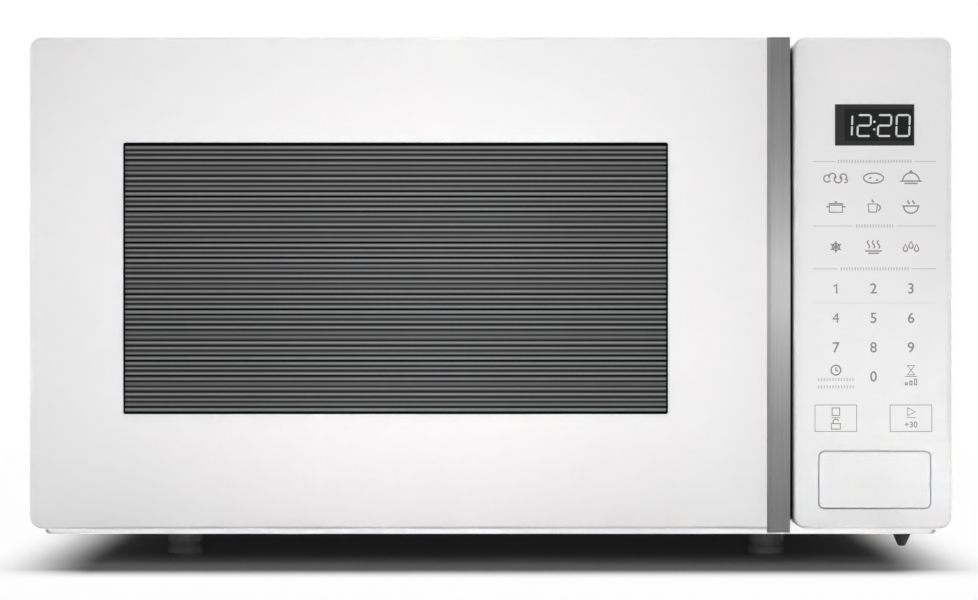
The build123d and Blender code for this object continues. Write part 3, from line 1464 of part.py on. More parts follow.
switch_spots = [
    (hook_x - (switch_width + sheet_gap) / 2, switch_top_upper),
    (hook_x + (switch_width + sheet_gap) / 2, switch_top_upper),
    (lower_switch_x, switch_top_lower),
]

with BuildPart() as latch_board:
    plate(latch_board_x, latch_board_z, latch_board_y, 3.0)
    plate((latch_board_x[1] - 6.0, bearing_right_x[1]), latch_tail_z, latch_board_y)
    for slot_bottom in hook_slot_bottoms:
        plate(
            (hook_x - hook_width / 2 - slot_play, hook_x + hook_width / 2 + slot_play),
            (slot_bottom, slot_bottom + hook_slot_height),
            latch_board_y,
            0.0,
            Mode.SUBTRACT,
        )
    block(stem_slot_x, latch_board_y, latch_tail_z, Mode.SUBTRACT)
    block(
        (stem_slot_x[0] - 1.0, stem_slot_x[1] + 1.0),
        latch_board_y,
        (latch_tail_z[1] - 3.0, latch_tail_z[1]),
    )
    for lift in (0, hook_pitch):
        ledge_z = (lower_ledge_top + lift - ledge_height, lower_ledge_top + lift)
        block(ledge_x, (ledge_back - ledge_thick, ledge_back), ledge_z)
        block(cheek_x, (latch_board_y[0], switch_y[1]), (ledge_z[0], ledge_z[1] + cheek_rise))
    for bearing_x in (bearing_left_x, bearing_right_x):
        block(bearing_x, (latch_board_y[0], lever_y), (lever_z - bearing_outer, lever_z + bearing_outer))
        bearing_length = bearing_x[1] - bearing_x[0]
        rod(bearing_x[0], lever_y, lever_z, bearing_outer, Axis.X, bearing_length)
        rod(bearing_x[0], lever_y, lever_z, lever_radius + bearing_gap, Axis.X, bearing_length, Mode.SUBTRACT)
    for seat_x, seat_top in switch_spots[1:]:
        block(
            (seat_x + switch_width / 2, cheek_x[1]),
            (lever_y + lever_radius + 1.0, switch_y[1]),
            (seat_top - switch_size_z + 3.0, seat_top + 3.0),
        )
latch_board.part.label = "latch_board"
export_step(latch_board.part, "parts/latch_board.step")

plunger_y = (switch_y[0] + plunger_setback, switch_y[0] + plunger_setback + plunger_width)

with BuildPart() as interlock_switches:
    for seat_x, seat_top in switch_spots:
        block(
            (seat_x - switch_width / 2, seat_x + switch_width / 2),
            switch_y,
            (seat_top - switch_size_z, seat_top),
        )
        block(
            (seat_x - plunger_width / 2 - plunger_play, seat_x + plunger_width / 2 + plunger_play),
            (plunger_y[0] - plunger_play, plunger_y[1] + plunger_play),
            (seat_top - plunger_pit, seat_top),
            Mode.SUBTRACT,
        )
        with BuildSketch(level(seat_top - switch_size_z)):
            with Locations((seat_x, sum(switch_y) / 2)):
                with GridLocations(0, 8.0, 1, 3):
                    Rectangle(0.8, 4.0)
        extrude(amount=-terminal_length)
interlock_switches.part.label = "interlock_switches"
export_step(interlock_switches.part, "parts/interlock_switches.step")

with BuildPart() as switch_plungers:
    for seat_x, seat_top in switch_spots:
        block(
            (seat_x - plunger_width / 2, seat_x + plunger_width / 2),
            plunger_y,
            (seat_top - plunger_length, seat_top + plunger_proud),
        )
switch_plungers.part.label = "switch_plungers"
export_step(switch_plungers.part, "parts/switch_plungers.step")

# Release lever: a shaft with a tail that the button's stem pushes and a round finger under the lower hook
finger_side_gap = 0.6
finger_x = (hook_arm_x[0], hook_x - finger_side_gap)
finger_y = lever_y + finger_reach
finger_z = hook_bottom - barb_drop - finger_gap - finger_nose
finger_heel = 1.0
lever_x = (bearing_left_x[0] - 1.0, bearing_right_x[1] + 1.0)
tail_x = (stem_x - stem_width / 2, stem_x + stem_width / 2)
stem_back = lever_y - lever_radius - fit_gap
tail_back = lever_y + 1.0

with BuildPart() as release_lever:
    rod(lever_x[0], lever_y, lever_z, lever_radius, Axis.X, lever_x[1] - lever_x[0])
    block(tail_x, (lever_y - lever_radius, tail_back), (stem_z - stem_nose, lever_z))
    with BuildSketch(side_plane(finger_x[0])):
        with BuildLine():
            Polyline(
                (lever_y, lever_z - lever_radius),
                (finger_y + finger_nose, lever_z - finger_heel),
                (finger_y + finger_nose, finger_z),
                (finger_y - finger_nose, finger_z),
                (finger_y - 2 * finger_nose, lever_z + lever_radius),
                (lever_y, lever_z + lever_radius),
                (lever_y, lever_z - lever_radius),
            )
        make_face()
        with Locations((finger_y, finger_z)):
            Circle(finger_nose)
    extrude(amount=finger_x[1] - finger_x[0])
release_lever.part.label = "release_lever"
export_step(release_lever.part, "parts/release_lever.step")

# Release button: a hollow cap with a stem to the lever, and the spring round its post
button_left_x = button_centre_x - button_width / 2
button_right_x = button_centre_x + button_width / 2
button_z = (button_bottom, button_bottom + button_height)
button_front = fascia_front - button_proud
button_back = button_front + button_skirt
post_x = button_centre_x + 10.1
post_z = button_bottom + button_height / 2
post_radius = 3.0
post_length = 14.0
button_spring_radius = 4.2
spring_tray_thick = 1.5
spring_tray_y = (plate_front - 9.0, plate_front - 9.0 + spring_tray_thick)

with BuildPart() as release_button:
    plate((button_left_x, button_right_x), button_z, (button_front, button_back), button_corner)
    fillet(release_button.faces().sort_by(Axis.Y)[0].edges(), 0.8)
    plate(
        (button_left_x + moulding, button_right_x - moulding),
        (button_z[0] + moulding, button_z[1] - moulding),
        (button_front + moulding, button_back),
        button_corner / 2,
        Mode.SUBTRACT,
    )
    block(
        tail_x,
        (button_front + moulding, stem_back - stem_nose),
        (stem_z - stem_nose, stem_z + stem_nose),
    )
    rod(tail_x[0], stem_back - stem_nose, stem_z, stem_nose, Axis.X, stem_width)
    rod(post_x, button_front + moulding, post_z, post_radius, Axis.Y, post_length)
release_button.part.label = "release_button"
export_step(release_button.part, "parts/release_button.step")

with BuildPart() as button_spring:
    with BuildSketch(front_plane(spring_tray_y[0])):
        with Locations((post_x, post_z)):
            Circle(button_spring_radius)
            Circle(button_spring_radius - spring_wire, mode=Mode.SUBTRACT)
    extrude(amount=spring_tray_y[0] - button_front - moulding)
button_spring.part.label = "button_spring"
export_step(button_spring.part, "parts/button_spring.step")

# Control panel: the moulded housing, with openings for the display and the button
membrane_x = (panel_left + membrane_margin, fascia_right - membrane_margin)
membrane_z = (membrane_bottom, fascia_top - membrane_margin)
display_x = (button_centre_x - display_width / 2, button_centre_x + display_width / 2)
display_z = (display_centre_z - display_height / 2, display_centre_z + display_height / 2)

with BuildPart() as control_panel:
    with BuildSketch(front_plane(panel_back)):
        with Locations((panel_mid_x, fascia_mid_z)):
            RectangleRounded(panel_width, fascia_height, fascia_corner)
    extrude(amount=panel_back - fascia_front)
    fillet(control_panel.faces().sort_by(Axis.Y)[0].edges(), fascia_edge)
    block(
        (panel_left + moulding, fascia_right - moulding),
        (fascia_front + moulding, panel_back),
        (fascia_bottom + moulding, fascia_top - moulding),
        Mode.SUBTRACT,
    )
    plate(membrane_x, membrane_z, (fascia_front, fascia_front + membrane_thickness), 2.0, Mode.SUBTRACT)
    plate(display_x, display_z, (fascia_front, fascia_front + moulding), 0.0, Mode.SUBTRACT)
    plate(
        (button_left_x - button_play, button_right_x + button_play),
        (button_z[0] - button_play, button_z[1] + button_play),
        (fascia_front, fascia_front + moulding),
        button_corner + button_play,
        Mode.SUBTRACT,
    )
    block((post_x - 12.0, post_x + 12.0), spring_tray_y, (fascia_bottom + moulding, post_z + 12.0))
    rod(post_x, spring_tray_y[0], post_z, post_radius + fit_gap, Axis.Y, spring_tray_thick, Mode.SUBTRACT)
control_panel.part.label = "control_panel"
export_step(control_panel.part, "parts/control_panel.step")

with BuildPart() as keypad_membrane:
    plate(
        (membrane_x[0] + 0.1, membrane_x[1] - 0.1),
        (membrane_z[0] + 0.1, membrane_z[1] - 0.1),
        (fascia_front, fascia_front + membrane_thickness),
        1.9,
    )
    plate(display_x, display_z, (fascia_front, fascia_front + membrane_thickness), 0.0, Mode.SUBTRACT)
keypad_membrane.part.label = "keypad_membrane"
export_step(keypad_membrane.part, "parts/keypad_membrane.step")

with BuildPart() as display_window:
    plate(
        (display_x[0] + 0.1, display_x[1] - 0.1),
        (display_z[0] + 0.1, display_z[1] - 0.1),
        (fascia_front + 0.3, fascia_front + moulding),
    )
display_window.part.label = "display_window"
export_step(display_window.part, "parts/display_window.step")

board_margin = 8.0
board_rise = 26.0
board_drop = 12.0
board_x = (panel_left + board_margin, fascia_right - board_margin)
board_z = (post_z + board_rise, fascia_top - board_drop)
board_back = board_y + board_thick
supply_inset = 6.0
supply_rise = 12.0
supply_width = 34.0
supply_height = 28.0
supply_depth = 14.4
relay_inset = 8.0
relay_rise = 56.0
relay_pitch = 24.0
relay_width = 28.0
relay_height = 16.0
relay_depth = 13.4
can_inset = 12.0
can_rise = 24.0
can_pitch = 16.0
can_radius = 5.0
can_height = 12.0
buzzer_inset = 14.0
buzzer_drop = 24.0
buzzer_radius = 7.0
buzzer_height = 9.0
socket_inset = 10.0
socket_rise = 2.0
socket_height = 7.0
socket_depth = 7.4

with BuildPart() as control_board:
    plate(board_x, board_z, (board_y, board_back))
    block(
        (board_x[0] + supply_inset, board_x[0] + supply_inset + supply_width),
        (board_back, board_back + supply_depth),
        (board_z[0] + supply_rise, board_z[0] + supply_rise + supply_height),
    )
    for relay in range(2):
        relay_z = board_z[0] + relay_rise + relay * relay_pitch
        block(
            (board_x[0] + relay_inset, board_x[0] + relay_inset + relay_width),
            (board_back, board_back + relay_depth),
            (relay_z, relay_z + relay_height),
        )
    for can in range(3):
        can_z = board_z[0] + can_rise + can * can_pitch
        rod(board_x[1] - can_inset, board_back, can_z, can_radius, Axis.Y, can_height)
    rod(board_x[1] - buzzer_inset, board_back, board_z[1] - buzzer_drop, buzzer_radius, Axis.Y, buzzer_height)
    block(
        (board_x[0] + socket_inset, board_x[1] - socket_inset),
        (board_back, board_back + socket_depth),
        (board_z[0] + socket_rise, board_z[0] + socket_rise + socket_height),
    )
control_board.part.label = "control_board"
export_step(control_board.part, "parts/control_board.step")

module_margin = 4.0
with BuildPart() as display_module:
    plate(
        (display_x[0] - module_margin, display_x[1] + module_margin),
        (display_z[0] - module_margin, display_z[1] + module_margin),
        (fascia_front + moulding, board_y),
    )
display_module.part.label = "display_module"
export_step(display_module.part, "parts/display_module.step")

# Bar: a bowed steel channel on the door's right edge, over a moulded carrier
bar_x = (bar_left, door_right)
bar_z = (fascia_bottom - bar_overrun, fascia_top - 0.1)
bar_mid_z = sum(bar_z) / 2


def bar_solid(inset):
    """The bar's bowed outer form, drawn in on its front, sides and ends by this inset."""
    low = bar_z[0] + inset
    high = bar_z[1] - inset
    end_y = fascia_front - bar_end_depth + inset
    with BuildPart() as form:
        with BuildSketch(level(low)):
            with BuildLine():
                Polyline(
                    (bar_x[0] - bar_bevel + inset, fascia_front),
                    (bar_x[0] + inset, fascia_front - bar_middle_depth),
                    (bar_x[1] - inset, fascia_front - bar_middle_depth),
                    (bar_x[1] - inset, fascia_front),
                    (bar_x[0] - bar_bevel + inset, fascia_front),
                )
            make_face()
        extrude(amount=high - low)
        with BuildSketch(side_plane(bar_x[0] - bar_bevel)):
            with BuildLine():
                Line((fascia_front, low), (fascia_front, high))
                Line((fascia_front, high), (end_y, high - bar_foot))
                ThreePointArc(
                    (end_y, high - bar_foot),
                    (fascia_front - bar_middle_depth + inset, bar_mid_z),
                    (end_y, low + bar_foot),
                )
                Line((end_y, low + bar_foot), (fascia_front, low))
            make_face()
        extrude(amount=bar_width + bar_bevel, mode=Mode.INTERSECT)
    return form.part


bar_outside = bar_solid(0.0)
bar_inside = bar_solid(bar_sheet)
bar_filling = bar_solid(bar_sheet + sheet_gap)

with BuildPart() as door_bar:
    add(bar_outside)
    add(bar_inside, mode=Mode.SUBTRACT)
door_bar.part.label = "door_bar"
export_step(door_bar.part, "parts/door_bar.step")

with BuildPart() as bar_carrier:
    add(bar_filling)
bar_carrier.part.label = "bar_carrier"
export_step(bar_carrier.part, "parts/bar_carrier.step")

# Feet: banded rubber feet in front, plain ones behind, and a tapered rest under the control side
foot_edge = 1.2
foot_band = 3.0
foot_groove = 1.0
foot_plug = 4.0
foot_plug_lip = 1.6
pan_inside = cabinet_bottom + sheet
foot_bands = [
    (foot_radius, foot_edge + foot_band),
    (foot_waist, foot_edge + foot_band + foot_groove),
    (foot_waist, foot_edge + foot_band + 2 * foot_groove),
    (foot_radius, foot_edge + foot_band + 3 * foot_groove),
]

with BuildPart() as feet:
    for foot_x, foot_y in foot_spots:
        bands = foot_bands if (foot_x, foot_y) in front_foot_spots else []
        with BuildSketch(Plane(origin=(foot_x, foot_y, 0), x_dir=(1, 0, 0), z_dir=(0, -1, 0))):
            with BuildLine():
                Polyline(
                    (0, 0),
                    (foot_radius - foot_edge, 0),
                    (foot_radius, foot_edge),
                    *bands,
                    (foot_radius, cabinet_bottom),
                    (foot_screw_radius, cabinet_bottom),
                    (foot_screw_radius, pan_inside),
                    (foot_screw_radius + foot_plug_lip, pan_inside),
                    (foot_screw_radius, pan_inside + foot_plug),
                    (0, pan_inside + foot_plug),
                    (0, 0),
                )
            make_face()
        revolve(axis=Axis((foot_x, foot_y, 0), (0, 0, 1)))
feet.part.label = "feet"
export_step(feet.part, "parts/feet.step")

with BuildPart() as side_rest:
    with BuildSketch(front_plane(nub_y)):
        with BuildLine():
            Polyline(
                (nub_x, nub_clearance),
                (nub_x + nub_tip_radius - 0.8, nub_clearance),
                (nub_x + nub_tip_radius, nub_clearance + 0.8),
                (nub_x + nub_top_radius, cabinet_bottom - 2.0),
                (nub_x + nub_top_radius, cabinet_bottom),
                (nub_x + foot_screw_radius, cabinet_bottom),
                (nub_x + foot_screw_radius, pan_inside),
                (nub_x + foot_screw_radius + foot_plug_lip, pan_inside),
                (nub_x + foot_screw_radius, pan_inside + foot_plug),
                (nub_x, pan_inside + foot_plug),
                (nub_x, nub_clearance),
            )
        make_face()
    revolve(axis=Axis((nub_x, nub_y, 0), (0, 0, 1)))
side_rest.part.label = "side_rest"
export_step(side_rest.part, "parts/side_rest.step")

# Spacers that keep the back off a wall, and the cord's gland
spacer_screw_length = 6.0
spacer_edge = 1.5

with BuildPart() as wall_spacers:
    for spacer_x, spacer_z in spacer_spots:
        rod(spacer_x, rear_panel_y[1], spacer_z, spacer_radius, Axis.Y, spacer_length + sheet)
        rod(spacer_x, rear_panel_y[1], spacer_z, screw_radius, Axis.Y, -spacer_screw_length)
    chamfer(wall_spacers.faces().sort_by(Axis.Y)[-2:].edges(), spacer_edge)
wall_spacers.part.label = "wall_spacers"
export_step(wall_spacers.part, "parts/wall_spacers.step")

gland_flange_radius = 10.0
gland_flange_thick = 3.0
gland_snout_radius = 6.5
gland_snout_length = 5.0
gland_inside = 6.0
gland_edge = 1.5
gland_bore_radius = 3.6
gland_y = (rear_panel_y[1] - gland_inside, rear_panel_y[1] + gland_flange_thick + gland_snout_length)

with BuildPart() as cord_gland:
    rod(gland_x, rear_panel_y[1], gland_z, gland_flange_radius, Axis.Y, gland_flange_thick)
    rod(gland_x, rear_panel_y[1], gland_z, gland_snout_radius, Axis.Y, gland_y[1] - rear_panel_y[1])
    rod(gland_x, rear_panel_y[1], gland_z, gland_radius, Axis.Y, -gland_inside)
    chamfer(cord_gland.faces().sort_by(Axis.Y)[-1].edges(), gland_edge)
    rod(gland_x, gland_y[0], gland_z, gland_bore_radius, Axis.Y, gland_y[1] - gland_y[0], Mode.SUBTRACT)
cord_gland.part.label = "cord_gland"
export_step(cord_gland.part, "parts/cord_gland.step")
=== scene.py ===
import json
import math

import bmesh
import bpy
from mathutils import Matrix, Vector


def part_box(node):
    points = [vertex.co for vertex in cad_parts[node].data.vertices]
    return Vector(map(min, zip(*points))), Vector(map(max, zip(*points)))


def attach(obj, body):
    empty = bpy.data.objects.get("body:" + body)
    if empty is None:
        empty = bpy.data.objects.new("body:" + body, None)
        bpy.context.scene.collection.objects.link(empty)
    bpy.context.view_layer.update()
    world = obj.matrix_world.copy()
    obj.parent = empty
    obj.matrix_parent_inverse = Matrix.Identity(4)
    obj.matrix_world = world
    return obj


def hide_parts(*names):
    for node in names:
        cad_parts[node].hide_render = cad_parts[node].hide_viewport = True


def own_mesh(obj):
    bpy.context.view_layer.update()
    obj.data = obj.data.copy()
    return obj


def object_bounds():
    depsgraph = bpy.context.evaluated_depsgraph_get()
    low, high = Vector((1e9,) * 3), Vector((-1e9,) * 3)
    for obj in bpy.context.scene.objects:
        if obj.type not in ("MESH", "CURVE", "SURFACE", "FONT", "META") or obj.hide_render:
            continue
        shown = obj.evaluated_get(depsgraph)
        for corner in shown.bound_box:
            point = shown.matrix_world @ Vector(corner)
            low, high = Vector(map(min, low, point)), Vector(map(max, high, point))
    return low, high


# Looks of the countertop microwave oven. Metres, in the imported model's own frame.
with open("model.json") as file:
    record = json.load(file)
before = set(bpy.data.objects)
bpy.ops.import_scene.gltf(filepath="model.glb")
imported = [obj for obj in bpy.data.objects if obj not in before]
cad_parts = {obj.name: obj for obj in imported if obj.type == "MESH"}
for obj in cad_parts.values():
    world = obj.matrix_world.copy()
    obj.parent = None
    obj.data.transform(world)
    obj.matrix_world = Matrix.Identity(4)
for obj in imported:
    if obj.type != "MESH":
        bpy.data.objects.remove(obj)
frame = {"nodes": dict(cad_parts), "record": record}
cad_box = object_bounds()
MM = 0.001

# Places that the pieces below are set out from
fascia_low, fascia_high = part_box("control_panel")
window_low, window_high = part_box("door_window")
film_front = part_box("keypad_membrane")[0].y
display_low, display_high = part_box("display_window")
button_low, button_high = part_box("release_button")
bar_low, bar_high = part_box("door_bar")
screen_low, screen_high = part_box("door_film")
cabinet_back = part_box("cabinet_wrapper")[1].y
plate_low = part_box("front_plate")[0]
fascia_front = fascia_low.y
fascia_top = fascia_high.z
keys_x = (button_low.x + button_high.x) / 2

# The painted shade in the gap between the door and the panel, black where only shadow falls: how far it
# reaches back under the bar, into the panel's wall and down to the sill, how deep behind the fascia it
# starts, and its colour
gap_lap = 2.0 * MM
gap_wall = 0.5 * MM
gap_foot = 1.0 * MM
gap_depth = 4.0 * MM
gap_shade_colour = (0.006, 0.006, 0.006)


class Look:
    """A material's node tree, with short calls for the nodes that the looks are made of."""

    def __init__(self, name):
        self.material = bpy.data.materials.new(name)
        self.material.use_nodes = True
        self.tree = self.material.node_tree
        self.shader = self.tree.nodes["Principled BSDF"]
        self.output = self.tree.nodes["Material Output"]
        self.place = self.tree.nodes.new("ShaderNodeTexCoord").outputs["Object"]

    def put(self, socket, value):
        """Feeds a socket from another one, or sets a plain number or colour on it."""
        if isinstance(value, bpy.types.NodeSocket):
            self.tree.links.new(value, socket)
        elif hasattr(value, "__len__") and len(value) == 3 and socket.type == "RGBA":
            socket.default_value = (*value, 1.0)
        else:
            socket.default_value = value

    def set(self, **values):
        """Sets the shader's sockets by name, with underscores for spaces."""
        for name, value in values.items():
            self.put(self.shader.inputs[name.replace("_", " ")], value)

    def math(self, kind, a, b=0.0, clamp=False):
        """A Math node's result."""
        node = self.tree.nodes.new("ShaderNodeMath")
        node.operation = kind
        node.use_clamp = clamp
        self.put(node.inputs[0], a)
        self.put(node.inputs[1], b)
        return node.outputs[0]

    def axis(self, name):
        """The object's own X, Y or Z, in metres."""
        node = self.tree.nodes.new("ShaderNodeSeparateXYZ")
        self.put(node.inputs[0], self.place)
        return node.outputs[name]

    def scaled(self, x, y, z):
        """The place with each axis multiplied."""
        node = self.tree.nodes.new("ShaderNodeMapping")
        self.put(node.inputs["Vector"], self.place)
        self.put(node.inputs["Scale"], (x, y, z))
        return node.outputs[0]

    def noise(self, scale, detail=3.0, rough=0.5, vector=None):
        """Noise from 0 to 1, with this many bumps in a metre."""
        node = self.tree.nodes.new("ShaderNodeTexNoise")
        self.put(node.inputs["Vector"], vector or self.place)
        self.put(node.inputs["Scale"], scale)
        self.put(node.inputs["Detail"], detail)
        self.put(node.inputs["Roughness"], rough)
        return node.outputs["Fac"]

    def cells(self, scale, feature="F1", vector=None, random=1.0):
        """A Voronoi texture's node."""
        node = self.tree.nodes.new("ShaderNodeTexVoronoi")
        node.feature = feature
        self.put(node.inputs["Vector"], vector or self.place)
        self.put(node.inputs["Scale"], scale)
        self.put(node.inputs["Randomness"], random)
        return node

    def ramp(self, value, stops):
        """A colour from a list of (place, grey or colour) stops."""
        node = self.tree.nodes.new("ShaderNodeValToRGB")
        made = node.color_ramp.elements
        for number, (place, colour) in enumerate(stops):
            stop = made[number] if number < 2 else made.new(place)
            stop.position = place
            stop.color = (*colour, 1.0) if hasattr(colour, "__len__") else (colour, colour, colour, 1.0)
        self.put(node.inputs[0], value)
        return node.outputs[0]

    def spread(self, value, low, high, to_low, to_high):
        """A value mapped from one span to another, and held inside it."""
        node = self.tree.nodes.new("ShaderNodeMapRange")
        names = ("Value", "From Min", "From Max", "To Min", "To Max")
        for name, number in zip(names, (value, low, high, to_low, to_high)):
            self.put(node.inputs[name], number)
        return node.outputs[0]

    def mix(self, factor, a, b, blend="MIX"):
        """One colour over another."""
        node = self.tree.nodes.new("ShaderNodeMix")
        node.data_type = "RGBA"
        node.blend_type = blend
        self.put(node.inputs[0], factor)
        self.put(node.inputs[6], a)
        self.put(node.inputs[7], b)
        return node.outputs[2]

    def bump(self, height, strength, distance, normal=None):
        """Sets the surface's small relief, as a share of this distance in metres."""
        node = self.tree.nodes.new("ShaderNodeBump")
        self.put(node.inputs["Height"], height)
        self.put(node.inputs["Strength"], strength)
        self.put(node.inputs["Distance"], distance)
        if normal is not None:
            self.put(node.inputs["Normal"], normal)
        self.put(self.shader.inputs["Normal"], node.outputs[0])
        return node.outputs[0]


def tint(colour, factor):
    """A colour made lighter or darker."""
    return tuple(min(1.0, c * factor) for c in colour)


def gap_shaded(look, colour):
    """A colour with painted shade: black where the surface lies deep in the gap between the door and the
    panel.
    """
    x, y, z = look.axis("X"), look.axis("Y"), look.axis("Z")
    deep = look.spread(y, fascia_front + gap_depth, fascia_front + 2 * gap_depth, 0.0, 1.0)
    beyond_door = look.math("GREATER_THAN", x, bar_high.x - gap_lap)
    before_panel = look.math("LESS_THAN", x, fascia_low.x + gap_wall)
    above_sill = look.math("GREATER_THAN", z, fascia_low.z + gap_foot)
    inside = look.math("MULTIPLY", above_sill, look.math("MULTIPLY", beyond_door, before_panel))
    return look.mix(look.math("MULTIPLY", deep, inside), colour, gap_shade_colour)


def moulded(name, colour, rough=0.34, grain=900.0, relief=0.03, tone=0.012, shade_gap=False):
    """Moulded plastic: a very fine grain, slow changes of tone and of gloss, and painted shade in the gap
    where asked.
    """
    look = Look(name)
    slow = look.noise(9.0, 2.0)
    fine = look.noise(grain, 2.0)
    shade = look.mix(slow, tint(colour, 1 - tone), tint(colour, 1 + tone))
    look.set(
        Base_Color=gap_shaded(look, shade) if shade_gap else shade,
        Roughness=look.spread(look.noise(grain / 6, 3.0), 0.3, 0.7, rough - 0.03, rough + 0.04),
    )
    look.bump(fine, relief, 0.0004)
    return look.material


def powder_coat(name, colour, rough=0.42, shade_gap=False):
    """Baked powder paint on sheet steel: an even orange peel, and painted shade in the gap where asked."""
    look = Look(name)
    peel = look.noise(620.0, 2.0, 0.4)
    shade = look.mix(look.noise(14.0, 3.0), tint(colour, 0.985), tint(colour, 1.01))
    look.set(
        Base_Color=gap_shaded(look, shade) if shade_gap else shade,
        Roughness=look.spread(peel, 0.35, 0.65, rough - 0.04, rough + 0.05),
        Coat_Weight=0.15,
        Coat_Roughness=0.25,
    )
    look.bump(peel, 0.10, 0.0006)
    return look.material


def zinc(name, colour):
    """Zinc-plated sheet: overlapping spangles that differ a little in tone and gloss."""
    look = Look(name)
    spangle = look.cells(170.0, vector=look.scaled(1.0, 0.45, 1.0)).outputs["Color"]
    rolled = look.noise(60.0, 4.0, 0.6, look.scaled(1.0, 1.0, 24.0))
    shade = look.ramp(spangle, [(0.0, tint(colour, 0.92)), (1.0, tint(colour, 1.04))])
    look.set(
        Base_Color=look.mix(look.math("MULTIPLY", rolled, 0.35), shade, tint(colour, 0.8)),
        Metallic=1.0,
        Roughness=look.spread(spangle, 0.0, 1.0, 0.33, 0.43),
    )
    look.bump(rolled, 0.05, 0.0003)
    return look.material


def enamel(name, colour):
    """Oven enamel: glossy, with fine darker specks in it."""
    look = Look(name)
    specks = look.ramp(look.cells(420.0).outputs["Distance"], [(0.14, 0.0), (0.22, 1.0)])
    rare = look.ramp(look.noise(230.0, 1.0), [(0.50, 1.0), (0.54, 0.0)])
    keep = look.mix(1.0, specks, rare, "LIGHTEN")
    look.set(
        Base_Color=look.mix(keep, tint(colour, 0.74), colour),
        Roughness=look.spread(look.noise(40.0, 3.0), 0.3, 0.7, 0.27, 0.31),
        Coat_Weight=0.5,
        Coat_Roughness=0.12,
    )
    look.bump(look.noise(160.0, 2.0), 0.02, 0.0006)
    return look.material


# The bar's painted reflection, lighter at its middle than at its ends, as (share of the half length, share
# of its colour)
bar_reflection_tones = [(0.0, 1.0), (0.10, 0.98), (0.245, 0.79), (0.566, 0.50), (0.9, 0.36)]


def brushed_bar(name, colour):
    """Stainless steel brushed along Z: fine streaks in tone, gloss and relief, and a painted reflection that
    is brightest at mid height.
    """
    look = Look(name)
    streaks = look.noise(1.0, 6.0, 0.65, look.scaled(2600.0, 2600.0, 7.0))
    broad = look.noise(1.0, 3.0, 0.5, look.scaled(420.0, 420.0, 2.0))
    middle = (bar_low.z + bar_high.z) / 2
    half = (bar_high.z - bar_low.z) / 2
    reach = look.math("DIVIDE", look.math("SUBTRACT", look.axis("Z"), middle), half)
    painted_reflection = look.ramp(look.math("ABSOLUTE", reach), [(at, tint(colour, share)) for at, share in bar_reflection_tones])
    grain = look.ramp(streaks, [(0.3, 0.90), (0.7, 1.08)])
    reflection_and_streaks = look.mix(1.0, painted_reflection, grain, "MULTIPLY")
    bands = look.ramp(broad, [(0.35, 0.95), (0.65, 1.04)])
    look.set(
        Base_Color=look.mix(1.0, reflection_and_streaks, bands, "MULTIPLY"),
        Metallic=1.0,
        Roughness=look.spread(streaks, 0.3, 0.7, 0.26, 0.40),
        Anisotropic=0.6,
    )
    tangent = look.tree.nodes.new("ShaderNodeTangent")
    tangent.direction_type = "RADIAL"
    tangent.axis = "Z"
    look.put(look.shader.inputs["Tangent"], tangent.outputs[0])
    look.bump(streaks, 0.05, 0.0001)
    return look.material


def rubber(name, colour):
    """Black rubber: dull, with a little dust in its relief."""
    look = Look(name)
    fine = look.noise(1500.0, 4.0, 0.6)
    dust = look.ramp(look.noise(220.0, 3.0), [(0.45, 0.0), (0.75, 0.35)])
    look.set(
        Base_Color=look.mix(dust, colour, tint(colour, 2.4)),
        Roughness=look.spread(fine, 0.3, 0.7, 0.62, 0.82),
        Specular_IOR_Level=0.35,
    )
    look.bump(fine, 0.15, 0.0003)
    return look.material


def clear_glass(name, colour, rough=0.02, ior=1.5):
    """Clear glass or film, with faint waves."""
    look = Look(name)
    look.set(Base_Color=colour, Roughness=rough, IOR=ior, Transmission_Weight=1.0)
    look.bump(look.noise(70.0, 2.0), 0.03, 0.0006)
    return look.material


def depth_inside(look, low, high, margin):
    """How far a point lies inside a box's X and Z outline, less this margin: below zero outside."""
    x, z = look.axis("X"), look.axis("Z")
    edges = [
        look.math(
            "MINIMUM",
            look.math("SUBTRACT", along, start + margin),
            look.math("SUBTRACT", end - margin, along),
        )
        for along, start, end in ((x, low.x, high.x), (z, low.z, high.z))
    ]
    return look.math("MINIMUM", *edges)


# The window's level lines: each wave is (pitch in mm, height, start)
line_level = 0.303
line_waves = [(2.703, 0.170, 0.98), (3.914, 0.046, 2.397), (1.514, 0.043, 2.026), (2.472, 0.027, -3.043)]
line_gamma = 2.2
line_least = 0.04
# The painted shade along the moulding's edge: how far the moulding laps the pane, the shade's soft edge and
# its share of the grey
pane_lap = 5.0 * MM
edge_shade_span = (0.88 * MM, 1.43 * MM)
edge_shade_share = 0.03


def window_pane(name):
    """Dark glass with printed level lines that differ in weight, and a painted shade along the moulding's
    edge.
    """
    look = Look(name)
    z = look.axis("Z")
    level = line_level
    for pitch, height, start in line_waves:
        turn = look.math("ADD", look.math("MULTIPLY", z, 2 * math.pi / (pitch * MM)), start)
        level = look.math("ADD", look.math("MULTIPLY", look.math("COSINE", turn), height), level)
    grey = look.math("POWER", look.math("MAXIMUM", level, line_least), line_gamma)
    edge = depth_inside(look, window_low, window_high, pane_lap)
    inside = look.spread(edge, *edge_shade_span, edge_shade_share, 1.0)
    look.set(
        Base_Color=look.math("MULTIPLY", grey, inside),
        Roughness=look.spread(look.noise(30.0, 2.0), 0.3, 0.7, 0.17, 0.23),
        Specular_IOR_Level=0.02,
    )
    look.bump(look.noise(25.0, 2.0), 0.02, 0.001)
    return look.material


# The screen's holes: the radius and its soft edge are shares of a cell
hole_pitch = 1.5 * MM
hole_radius, hole_edge = 0.36, 0.06
hole_margin = 7.0 * MM


